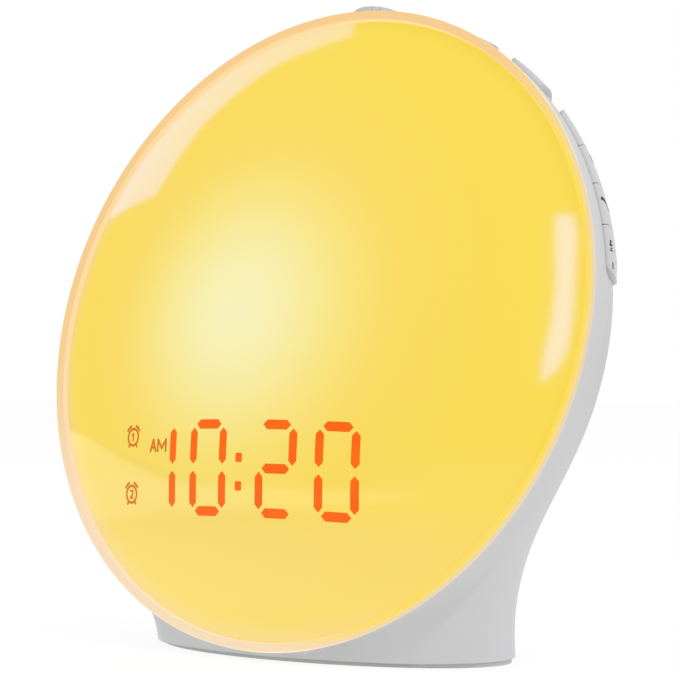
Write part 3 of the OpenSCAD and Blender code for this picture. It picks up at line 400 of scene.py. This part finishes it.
# %% [markdown]
# The shell is one smooth moulding: a shallow bowl behind the disc that flows into a flared foot. The
# model holds it with flat facets, which is right for collision but shows in the light. So a copy of
# its mesh is merged, its skin is divided once more, and each new point is moved onto the true form.
# The same form then tells every corner of the skin which way it faces, so the light runs over the
# skin without a break, while the edges of the key windows stay crisp.

# %% The shell's true form
FOOT_A, FOOT_B, PAD_T = 56.2, 27.6, 1.4           # the foot's half width and half depth, and the pad
FOOT_FLARE, FLARE_H, FOOT_RAKE = 1.04, 10.7, 0.05
COLUMN_H, COLUMN_FADE = 80, 0.02                  # where the foot's column ends inside the bowl
BOWL_SLOPE, FOOT_SLOPE = 55, 40
BLEND_R, BLEND_START = 17.6, 12                   # reach of the seam between bowl and foot
SOFT_REACH, SOFT_LIFT = 26.4, 4.4                 # the wider seam that only the shading uses
sin_lean, cos_lean = math.sin(LEAN), math.cos(LEAN)


def inside_shell(p, soft=False):
    """How far a place lies inside the shell's outer form, roughly in millimetres. Soft is for shading."""
    x, y, z = p[0] * 1000, p[1] * 1000, p[2] * 1000
    back, rise = y + FOOT_SET * 1000, z - DISC_HEIGHT * 1000
    up = back * sin_lean + rise * cos_lean
    depth = back * cos_lean - rise * sin_lean
    bowl = BOWL_SLOPE * (1 - ((math.hypot(x, up) / (BOWL_R * 1000)) ** BOWL_SQUARE
                              + (max(depth, 0) / BOWL_DEPTH) ** BOWL_SQUARE) ** (1 / BOWL_SQUARE))
    flare = FOOT_FLARE * (math.exp(-max(z - PAD_T, 0) / FLARE_H) - 1)
    foot = FOOT_SLOPE * (1 - math.hypot(x / (FOOT_A + flare),
                                        (y - FOOT_RAKE * (z - PAD_T)) / (FOOT_B + flare)))
    foot -= COLUMN_FADE * max(z - COLUMN_H, 0) ** 2
    if soft:
        # The bowl and the foot flow together over a wider seam, which leaves no line in the light
        near = max(SOFT_REACH - abs(bowl - foot), 0) / SOFT_REACH
        return max(bowl, foot) + near ** 3 * SOFT_LIFT
    blend = BLEND_R * max(0.02, min(1, depth / BLEND_START))
    part = clamp(0.5 + 0.5 * (bowl - foot) / blend)
    return foot + (bowl - foot) * part + blend * part * (1 - part)


def shell_slope(p, soft=False, step=0.00002):
    """The direction in which the form's inside grows fastest, per metre."""
    slope = Vector()
    for axis in range(3):
        shift = Vector()
        shift[axis] = step
        slope[axis] = (inside_shell(p + shift, soft) - inside_shell(p - shift, soft)) / (2 * step)
    return slope


print("middle of the foot is inside by", round(inside_shell(Vector((0, 0, 0.02))), 1))

# %% Smooth copy of the shell
SKIN_NEAR = 0.00015       # a point this close to the form lies on the skin
SAME_WAY = 0.8            # least agreement between a face's direction and the form's
LONG_EDGE = 0.0012        # shorter edges aren't divided
LARGEST_MOVE = 0.0003


def on_skin(p):
    return abs(inside_shell(p)) < SKIN_NEAR * shell_slope(p).length


def faces_out(face):
    slope = shell_slope(face.calc_center_median())
    return slope.length > 0 and face.normal.dot(-slope.normalized()) > SAME_WAY


bm = bmesh.new()
bm.from_mesh(nodes["housing"].data)
bmesh.ops.remove_doubles(bm, verts=bm.verts, dist=MERGE)
skin = {v for v in bm.verts if on_skin(v.co)}
skin_faces = [f for f in bm.faces if all(v in skin for v in f.verts) and faces_out(f)]
skin_edges = {e for f in skin_faces for e in f.edges if e.calc_length() > LONG_EDGE}
divided = bmesh.ops.subdivide_edges(bm, edges=list(skin_edges), cuts=1, use_grid_fill=True)
new_points = [v for v in divided["geom_inner"] if isinstance(v, bmesh.types.BMVert)]
longest = 0.0
for v in new_points:
    slope = shell_slope(v.co)
    move = -slope * (inside_shell(v.co) / slope.length_squared)
    if move.length < LARGEST_MOVE:
        v.co += move
        longest = max(longest, move.length)
bmesh.ops.triangulate(bm, faces=[f for f in bm.faces if len(f.verts) > 3])
shell = new_piece("shell_skin", bm)
shell_mesh = shell.data
print("shell triangles:", len(shell_mesh.polygons), "longest move mm:", round(longest * 1000, 3))

# %% Shading of the shell
corner_normals = [Vector()] * len(shell_mesh.loops)
slopes = {}
smooth_count = 0
for face in shell_mesh.polygons:
    found = []
    for i in face.vertices:
        if i not in slopes:
            p = shell_mesh.vertices[i].co
            slopes[i] = -shell_slope(p, soft=True).normalized() if on_skin(p) else None
        found.append(slopes[i])
    smooth = all(n is not None and n.dot(face.normal) > SAME_WAY for n in found)
    face.use_smooth = smooth
    smooth_count += smooth
    for corner, n in zip(face.loop_indices, found):
        corner_normals[corner] = n if smooth else face.normal.copy()
shell_mesh.normals_split_custom_set(corner_normals)
paint(shell_grey, "shell_skin")
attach(shell, "clock")
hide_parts("housing")
print("smooth faces:", smooth_count, "of", len(shell_mesh.polygons))

# %% [markdown]
# The lamp's cover and the ring round it are turned shapes, so each is a profile spun round the
# disc's axis. A spun profile has even rings, and the reflections on it stay clean.

# %% Helper for turned pieces
ON_AXIS = 1e-7


def turned(name, profile, steps, material, body, slot, *replaced):
    """Spins a closed profile of (radius, depth) in millimetres round the disc's axis."""
    bm = bmesh.new()
    points = [bm.verts.new((r / 1000, 0, -d / 1000)) for r, d in profile]
    loop = list(zip(points, points[1:] + points[:1]))
    edges = [bm.edges.new(pair) for pair in loop if max(point.co.x for point in pair) >= ON_AXIS]
    bmesh.ops.spin(bm, geom=points + edges, cent=(0, 0, 0), axis=(0, 0, 1), dvec=(0, 0, 0),
                   angle=2 * math.pi, steps=steps, use_merge=True)
    bmesh.ops.remove_doubles(bm, verts=bm.verts, dist=MERGE / 2)
    bmesh.ops.recalc_face_normals(bm, faces=bm.faces)
    bmesh.ops.transform(bm, matrix=disc_turn, verts=bm.verts)
    piece = new_piece(name, bm)
    piece.data.shade_smooth()
    piece.data.set_sharp_from_angle(angle=math.radians(35))
    paint(material, name)
    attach(piece, body)
    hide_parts(*replaced)
    print(name, "has", len(piece.data.polygons), "faces")
    return piece


# %% [markdown]
# Light comes out of the whole cover. A lamp in the middle of the tray makes a pale cream patch that
# fades evenly into a deep yellow, so the glow is painted by the distance from that patch's middle,
# in the cover's own coordinates. The glow is the shader's emission, and a little plain colour and a
# gloss stay under it, because the plastic is still a surface when the lamp is off.

# %% Helpers for a glow round the disc's middle
def srgb(*levels):
    """Screen colours, from 0 to 255, as the linear values that nodes take."""
    return tuple(((c / 255 + 0.055) / 1.055) ** 2.4 if c > 10 else c / 255 / 12.92 for c in levels)


def measure(tree, operation, vector, fixed):
    """One number from a vector socket and a fixed vector: their distance or their dot product."""
    node = add_node(tree, "ShaderNodeVectorMath", operation=operation)
    node.inputs[1].default_value = fixed
    tree.links.new(vector, node.inputs[0])
    return node.outputs["Value"]


def chained(tree, operation, first, *others):
    """One number from several, such as their product or the largest of them."""
    for other in others:
        node = add_node(tree, "ShaderNodeMath", operation=operation)
        tree.links.new(first, node.inputs[0])
        tree.links.new(other, node.inputs[1])
        first = node.outputs["Value"]
    return first


def disc_direction(tree):
    """Sockets with the place on the disc's plane, its direction from the axis and its distance from it."""
    place = add_node(tree, "ShaderNodeTexCoord")
    frame_turn = add_node(tree, "ShaderNodeMapping", vector_type="TEXTURE")
    frame_turn.inputs["Location"].default_value = (0, -FOOT_SET, DISC_HEIGHT)
    frame_turn.inputs["Rotation"].default_value = (math.pi / 2 - LEAN, 0, 0)
    flat = add_node(tree, "ShaderNodeVectorMath", operation="MULTIPLY")
    flat.inputs[1].default_value = (1, 1, 0)
    length = add_node(tree, "ShaderNodeVectorMath", operation="LENGTH")
    way = add_node(tree, "ShaderNodeVectorMath", operation="NORMALIZE")
    tree.links.new(place.outputs["Object"], frame_turn.inputs["Vector"])
    tree.links.new(frame_turn.outputs["Vector"], flat.inputs[0])
    tree.links.new(flat.outputs["Vector"], length.inputs[0])
    tree.links.new(flat.outputs["Vector"], way.inputs[0])
    return flat.outputs["Vector"], way.outputs["Vector"], length.outputs["Value"]


def share(tree, value, low, high, smooth=True, start=0.0, end=1.0):
    """How far a value has gone from low to high, as a number from start to end."""
    node = add_node(tree, "ShaderNodeMapRange", interpolation_type="SMOOTHSTEP" if smooth else "LINEAR")
    for socket, number in (("From Min", low), ("From Max", high), ("To Min", start), ("To Max", end)):
        node.inputs[socket].default_value = number
    tree.links.new(value, node.inputs["Value"])
    return node.outputs["Result"]


def tone_ramp(tree, value, stops, under, blend="LINEAR"):
    """Screen colours along a value, less the light that the surface sends back anyway."""
    ramp = add_node(tree, "ShaderNodeValToRGB")
    ramp.color_ramp.interpolation = blend
    while len(ramp.color_ramp.elements) < len(stops):
        ramp.color_ramp.elements.new(0.5)
    for stop, (position, tone) in zip(ramp.color_ramp.elements, stops):
        stop.position = position
        stop.color = (*[max(full - less, 0) for full, less in zip(srgb(*tone), under)], 1)
    tree.links.new(value, ramp.inputs["Fac"])
    return ramp.outputs["Color"]


def tinted(tree, total, change, *shares):
    """A colour with a change added to it, as far as all the shares together allow."""
    scaled = add_node(tree, "ShaderNodeVectorMath", operation="SCALE")
    scaled.inputs[0].default_value = change
    tree.links.new(chained(tree, "MULTIPLY", *shares), scaled.inputs["Scale"])
    summed = add_node(tree, "ShaderNodeVectorMath", operation="ADD")
    tree.links.new(total, summed.inputs[0])
    tree.links.new(scaled.outputs["Vector"], summed.inputs[1])
    return summed.outputs["Vector"]


print("glow helpers ready")

# %% Glow of the cover
PATCH_MIDDLE, PATCH_REACH = disc_place(-0.011, -0.0006, -0.0155), 0.087
COVER_TONES = [(0.0, (248, 243, 190)), (0.14, (249, 241, 178)), (0.26, (249, 236, 156)),
               (0.36, (250, 230, 134)), (0.46, (250, 225, 114)), (0.58, (250, 219, 97)),
               (0.72, (250, 219, 91)), (0.9, (250, 220, 84))]
COVER_UNDER = (0.24, 0.18, 0.042)    # what the lamps, the gloss and the floor add to the glow
BEND_MIDDLE = (0.033, 0.25, 0)       # the mirrored floor's upper edge is an arc round this place
LEFT_WAY = (-0.75, -0.65, 0)

glow_yellow, tree, shader = finish("glow_yellow", (0.25, 0.18, 0.03), 0.08, Specular_IOR_Level=1.0)
place = add_node(tree, "ShaderNodeTexCoord")
away = measure(tree, "DISTANCE", place.outputs["Object"], PATCH_MIDDLE)
fade = share(tree, away, 0, PATCH_REACH, smooth=False)
glow = tone_ramp(tree, fade, COVER_TONES, COVER_UNDER, "B_SPLINE")
flat, way, length = disc_direction(tree)
bend = measure(tree, "DISTANCE", flat, BEND_MIDDLE)
left_side = measure(tree, "DOT_PRODUCT", way, LEFT_WAY)
parts = add_node(tree, "ShaderNodeSeparateXYZ")
tree.links.new(flat, parts.inputs["Vector"])
across = parts.outputs["X"]
# Low on the cover the gloss adds the floor's light, so the glow gives a little less there
glow = tinted(tree, glow, (-0.06, -0.03, 0), share(tree, bend, 0.2985, 0.3025),
              share(tree, across, 0.03, -0.02))
glow = tinted(tree, glow, (-0.06, -0.04, 0), share(tree, bend, 0.3, 0.307),
              share(tree, across, -0.02, 0.03))
glow = tinted(tree, glow, (-0.01, -0.025, 0), share(tree, bend, 0.303, 0.312))
# On the right, a painted reflection lies over it: a paler band along the mirrored floor's upper edge
glow = tinted(tree, glow, (0, 0, 0.03), share(tree, bend, 0.284, 0.295), share(tree, bend, 0.307, 0.3),
              share(tree, across, 0.02, 0.055))
# At the very edge on the left, the ring's light reaches into the cover
glow = tinted(tree, glow, (-0.01, 0, 0.09), share(tree, length, 0.08, 0.0864),
              share(tree, left_side, 0.1, 0.6))
tree.links.new(glow, shader.inputs["Emission Color"])
shader.inputs["Emission Strength"].default_value = 1.0
print("cover's glow ready")

# %% Cover
CURVE, SKIN_CURVE = 215, 214.97    # the dome's radius, and the copy's, which keeps just inside it
COVER_R, EDGE_DEPTH, BACK_DEPTH, WALL = 86.6, 2.45, 4.3, 2.17
ARC_R, ARC_STEPS = 86.2, 56
centre_depth = EDGE_DEPTH + math.sqrt(CURVE ** 2 - COVER_R ** 2)
arc = [ARC_R * i / ARC_STEPS for i in range(ARC_STEPS + 1)] + [COVER_R]
outside = [(r, centre_depth - math.sqrt(SKIN_CURVE ** 2 - r ** 2)) for r in arc]
inside = [(r, centre_depth - math.sqrt((SKIN_CURVE - WALL) ** 2 - r ** 2)) for r in reversed(arc[:-3])]
turned("lamp_cover", outside + [(COVER_R, BACK_DEPTH), (84.3, BACK_DEPTH)] + inside, 180,
       glow_yellow, "clock", "dome", "front_dome")

# %% [markdown]
# The ring round the cover is clear plastic that is lit from within too. Where the lamp shines straight
# into it, near the top, it glows orange, and lower down it pales to peach; on the lower left that paleness
# is also a painted reflection of a soft lamp. On the right it turns from the cover's yellow to a pale
# outer edge, which is a painted highlight. So its glow, with that reflection and highlight, is painted
# by the direction and the distance from the disc's middle. A Mapping node gives both, because it turns
# the piece's own coordinates into the disc's frame.

# %% Ring finishes
RING_UNDER = (0.21, 0.14, 0.07)
WARM_WAY = (math.sin(math.radians(-25)), math.cos(math.radians(-25)), 0)
OPEN_WAY = (0.95, -0.3, 0)
RIM_IN, RIM_OUT = 0.0864, 0.0888
# Across the ring's face on the right: the cover's yellow light at the inner edge, then a painted highlight
# at the pale outer edge
RIM_GLOW_AND_HIGHLIGHT = [(0.0, (249, 220, 90)), (0.3, (249, 219, 98)), (0.55, (249, 219, 118)),
            (0.75, (246, 218, 142)), (0.9, (236, 214, 166)), (1.0, (222, 205, 178))]
# Round the ring: orange at the top, where the lamp shines in, and paler lower down; on the lower left the
# paleness is also a painted reflection of a soft lamp
AMBER_AROUND = [(0.0, (245, 220, 186)), (0.42, (245, 220, 188)), (0.62, (243, 208, 150)),
                (0.76, (244, 204, 144)), (1.0, (245, 203, 142))]
PEACH_AROUND = [(0.0, (246, 220, 196)), (0.42, (247, 218, 190)), (0.62, (248, 217, 180)),
                (0.76, (251, 218, 172)), (1.0, (251, 218, 168))]


def ring_finish(name, around):
    """Around holds the tones from the side away from the warm direction, at 0, to it, at 1."""
    material, tree, shader = finish(name, (0.25, 0.16, 0.07), 0.3)
    grain(tree, shader, 700, 0.03, 0.0002)
    _, way, length = disc_direction(tree)
    warm = measure(tree, "DOT_PRODUCT", way, WARM_WAY)
    opened = measure(tree, "DOT_PRODUCT", way, OPEN_WAY)
    turn = tone_ramp(tree, share(tree, warm, -1, 1, smooth=False), around, RING_UNDER)
    edge = tone_ramp(tree, share(tree, length, RIM_IN, RIM_OUT, smooth=False), RIM_GLOW_AND_HIGHLIGHT, RING_UNDER)
    tint = add_node(tree, "ShaderNodeMix", data_type="RGBA")
    tree.links.new(share(tree, opened, 0.3, 0.75), tint.inputs["Factor"])
    tree.links.new(turn, tint.inputs["A"])
    tree.links.new(edge, tint.inputs["B"])
    tree.links.new(tint.outputs["Result"], shader.inputs["Emission Color"])
    shader.inputs["Emission Strength"].default_value = 1.0
    return material


rim_amber = ring_finish("rim_amber", AMBER_AROUND)
rim_peach = ring_finish("rim_peach", PEACH_AROUND)
print("ring finishes ready")

# %% Ring
WALL_R, WALL_DEPTH = 0.08636, 0.0023    # the ring's inner wall, which glows peach


def quarter(r, depth, radius, start, steps=8):
    """Points of a rounded edge: a quarter circle round (r, depth), angles in degrees."""
    return [(r + radius * math.cos(math.radians(start + 90 * i / steps)),
             depth + radius * math.sin(math.radians(start + 90 * i / steps))) for i in range(steps + 1)]


ring_profile = ([(86.3, 2.2)] + quarter(86.9, 0.6, 0.6, 180) + quarter(88.48, 0.32, 0.32, 270)
                + [(88.8, 1.0), (87.3, 1.0), (87.3, 4.0), (86.7, 4.0), (86.7, 2.4)])
ring = turned("rim_ring", ring_profile, 240, rim_amber, "clock", "rim", "bezel_ring")
ring.data.materials.append(rim_peach)
for face in ring.data.polygons:
    spot = disc_back @ face.center
    if math.hypot(spot.x, spot.y) < WALL_R and spot.z > -WALL_DEPTH:
        face.material_index = 1
# The cover's edge mirrors the windows of light past the ring, so ring and shell leave those rays alone
ring.visible_glossy = False
shell.visible_glossy = False
print("wall faces:", sum(f.material_index for f in ring.data.polygons))

# %% [markdown]
# The digits and the alarm marks are light too, shining through the cover. The digits are a strong
# orange. The bells and the two letters are smaller and dimmer.

# %% Lit marks
def lit(name, color, low, high, scale):
    """A glowing finish whose light drifts between two close shades."""
    material, tree, shader = finish(name, color, 0.3, Specular_IOR_Level=0.15)
    place, _ = grain(tree, shader, 500, 0.02, 0.0001)
    mottle(tree, shader, place, low, high, scale, "Emission Color")
    shader.inputs["Emission Strength"].default_value = 1.0
    return material


lit_orange = lit("lit_orange", (0.08, 0.02, 0.005), (0.88, 0.115, 0.0), (0.92, 0.135, 0.0), 90)
lit_dim = lit("lit_dim", (0.08, 0.03, 0.01), (0.59, 0.15, 0.0), (0.63, 0.17, 0.003), 120)
paint(lit_orange, "time_digits")
paint(lit_dim, "alarm_symbols")
print("lit marks done")

# %% [markdown]
# The studio is plain: a pale floor, soft light from all round, and three soft lamps. The background
# is white for the camera, and the floor keeps the clock's faint shadow. The photograph also shows
# two windows of light on the shiny cover, one on the left and a narrow one on the right, so two cards
# stand there that only mirror-like rays can see. Behind them, a dark flag keeps the rest of the cover
# deep yellow, while its lower part shows the pale floor.

# %% World
WORLD_LIGHT, WORLD_SEEN = 0.74, 1.0
bpy.context.scene.view_settings.view_transform = "Standard"
world = bpy.data.worlds.new("studio")
bpy.context.scene.world = world
world.use_nodes = True
tree = world.node_tree
sky = tree.nodes["Background"]
rays = add_node(tree, "ShaderNodeLightPath").outputs
seen = chained(tree, "MAXIMUM", rays["Is Camera Ray"], rays["Is Glossy Ray"], rays["Is Transmission Ray"])
level = share(tree, seen, 0, 1, smooth=False, start=WORLD_LIGHT, end=WORLD_SEEN)
tree.links.new(level, sky.inputs["Strength"])
sky.inputs["Color"].default_value = (1, 1, 1, 1)
print("world ready")

# %% Floor
FLOOR_SIZE = 6
FLOOR_SEEN = 0.86    # what the camera sees
FLOOR_LIFT = 0.54    # what it sends up onto the clock
FLOOR_GREY = 0.17    # what keeps a faint shadow


def emission(tree, strength, color=(1, 1, 1)):
    node = add_node(tree, "ShaderNodeEmission")
    node.inputs["Color"].default_value = (*color, 1)
    node.inputs["Strength"].default_value = strength
    return node


bm = bmesh.new()
bmesh.ops.create_grid(bm, x_segments=1, y_segments=1, size=FLOOR_SIZE)
floor = new_piece("floor", bm)
floor_white, tree, shader = finish("floor_white", (0.35, 0.35, 0.35), 0.9, Specular_IOR_Level=0.0)
place = add_node(tree, "ShaderNodeTexCoord")
spread = add_node(tree, "ShaderNodeVectorMath", operation="LENGTH")
tree.links.new(place.outputs["Object"], spread.inputs[0])
aside = add_node(tree, "ShaderNodeSeparateXYZ")
tree.links.new(place.outputs["Object"], aside.inputs["Vector"])
# For mirror-like rays a pool of light is painted on the floor: bright near the clock and far out on the
# left, as the cover mirrors it
near = share(tree, spread.outputs["Value"], 0.08, 0.8, smooth=False, start=1.1, end=0.15)
left = share(tree, aside.outputs["X"], -0.12, -0.5, smooth=False)
mirrored = chained(tree, "MAXIMUM", near, left)
rays = add_node(tree, "ShaderNodeLightPath").outputs
seen = chained(tree, "MAXIMUM", rays["Is Camera Ray"], rays["Is Glossy Ray"])
level = add_node(tree, "ShaderNodeMix")
level.inputs["B"].default_value = FLOOR_SEEN
pale = emission(tree, 1.0)
lift = emission(tree, FLOOR_LIFT)
matte = add_node(tree, "ShaderNodeBsdfDiffuse")
matte.inputs["Color"].default_value = (FLOOR_GREY, FLOOR_GREY, FLOOR_GREY, 1)
shown = add_node(tree, "ShaderNodeAddShader")
lighting = add_node(tree, "ShaderNodeAddShader")
choose = add_node(tree, "ShaderNodeMixShader")
for start, end in ((rays["Is Camera Ray"], level.inputs["Factor"]),
                   (mirrored, level.inputs["A"]),
                   (level.outputs["Result"], pale.inputs["Strength"]),
                   (pale.outputs["Emission"], shown.inputs[0]),
                   (matte.outputs["BSDF"], shown.inputs[1]),
                   (lift.outputs["Emission"], lighting.inputs[0]),
                   (shader.outputs["BSDF"], lighting.inputs[1]),
                   (seen, choose.inputs["Fac"]),
                   (lighting.outputs["Shader"], choose.inputs[1]),
                   (shown.outputs["Shader"], choose.inputs[2]),
                   (choose.outputs["Shader"], tree.nodes["Material Output"].inputs["Surface"])):
    tree.links.new(start, end)
paint(floor_white, "floor")
print("floor ready")

# %% Lamps
MIDDLE = Vector((0, 0, 0.09))    # lamps, cards and flag stand round the clock's middle


def towards(azimuth, height_angle):
    """A direction: azimuth from straight in front of the clock towards its right, in degrees."""
    a, h = math.radians(azimuth), math.radians(height_angle)
    return Vector((math.sin(a) * math.cos(h), -math.cos(a) * math.cos(h), math.sin(h)))


def lamp(name, azimuth, height_angle, distance, size, power):
    """A round soft lamp that shines at the clock and isn't mirrored in it."""
    data = bpy.data.lights.new(name, "AREA")
    data.shape = "DISK"
    data.size = size
    data.energy = power
    light = bpy.data.objects.new(name, data)
    bpy.context.scene.collection.objects.link(light)
    way = towards(azimuth, height_angle)
    light.location = MIDDLE + way * distance
    light.rotation_euler = way.to_track_quat("Z", "Y").to_euler()
    light.visible_glossy = False


lamp("right_lamp", 78, 32, 1.6, 1.2, 6.5)
lamp("high_lamp", 10, 75, 1.8, 1.4, 3.0)
lamp("low_left_lamp", -62, 6, 1.2, 0.6, 1.5)
print("lamps ready")

# %% Helpers for cards
CARD_REACH = 3.0


def mirror_only(piece):
    """Leaves a piece of the stage to mirror-like rays alone."""
    piece.visible_camera = False
    piece.visible_diffuse = False
    piece.visible_shadow = False
    piece.visible_transmission = False


def card(name, corners, strength, tint):
    """A glowing card that only mirror-like rays see. Corners are (azimuth, height) in degrees."""
    bm = bmesh.new()
    points = [bm.verts.new(MIDDLE + towards(*corner) * CARD_REACH) for corner in corners]
    bmesh.ops.triangulate(bm, faces=[bm.faces.new(points)])
    piece = new_piece(name, bm)
    material = bpy.data.materials.new(name)
    material.use_nodes = True
    tree = material.node_tree
    tree.nodes.clear()
    out = add_node(tree, "ShaderNodeOutputMaterial")
    tree.links.new(emission(tree, strength, tint).outputs["Emission"], out.inputs["Surface"])
    paint(material, name)
    mirror_only(piece)


print("card helpers ready")

# %% Windows of light
card("left_window", [(-97, 19.8), (-86.3, 26.3), (-87.6, 30), (-88.8, 34.5), (-88.2, 40), (-87, 44.5),
                     (-83.3, 50.3), (-79.8, 54.7), (-86, 54.9), (-108, 55), (-114, 40), (-108, 15)],
     2.6, (0.15, 0.29, 1.0))
card("right_window", [(10.4, 43.8), (14.4, 43.8), (15.6, 40.5), (16.2, 33), (16.4, 26.5), (15.9, 21.6),
                      (14.2, 18.2), (11.7, 16.2), (12, 20.7), (12.8, 26.4), (12.7, 32.9)],
     6.0, (0.08, 0.26, 1.0))
print("windows of light ready")

# %% Dark flag behind the windows
FLAG_REACH, FLAG_START, FLAG_SWEEP = 3.6, -150, 240    # its distance, and the azimuths that it covers
LOW_ROW, LOW_EDGE, FLOOR_GAP = 0.3, 0.235, 0.001
bm = bmesh.new()
arc_points = [bm.verts.new(MIDDLE + towards(FLAG_START, height) * FLAG_REACH) for height in range(2, 87, 6)]
arc_edges = [bm.edges.new(pair) for pair in zip(arc_points, arc_points[1:])]
bmesh.ops.spin(bm, geom=arc_points + arc_edges, cent=(0, 0, 0), axis=(0, 0, 1), dvec=(0, 0, 0),
               angle=math.radians(FLAG_SWEEP), steps=32, use_merge=False)
for v in bm.verts:
    if v.co.z < LOW_ROW:
        azimuth = math.degrees(math.atan2(v.co.x, -v.co.y))
        # On the left the floor's far end shows under the flag, and in front it doesn't
        lower = clamp((azimuth + 80) / 25) if azimuth < 120 else 0
        v.co.z = LOW_EDGE * (1 - lower) + FLOOR_GAP
flag = new_piece("flag", bm)
flag_dark, tree, shader = finish("flag_dark", (0.1, 0.1, 0.1), 0.9, Specular_IOR_Level=0.0)
shader.inputs["Emission Color"].default_value = (1, 1, 1, 1)
shader.inputs["Emission Strength"].default_value = 0.17
paint(flag_dark, "flag")
mirror_only(flag)
print("flag ready")

# %% [markdown]

# %% Finish
print("scene finished")
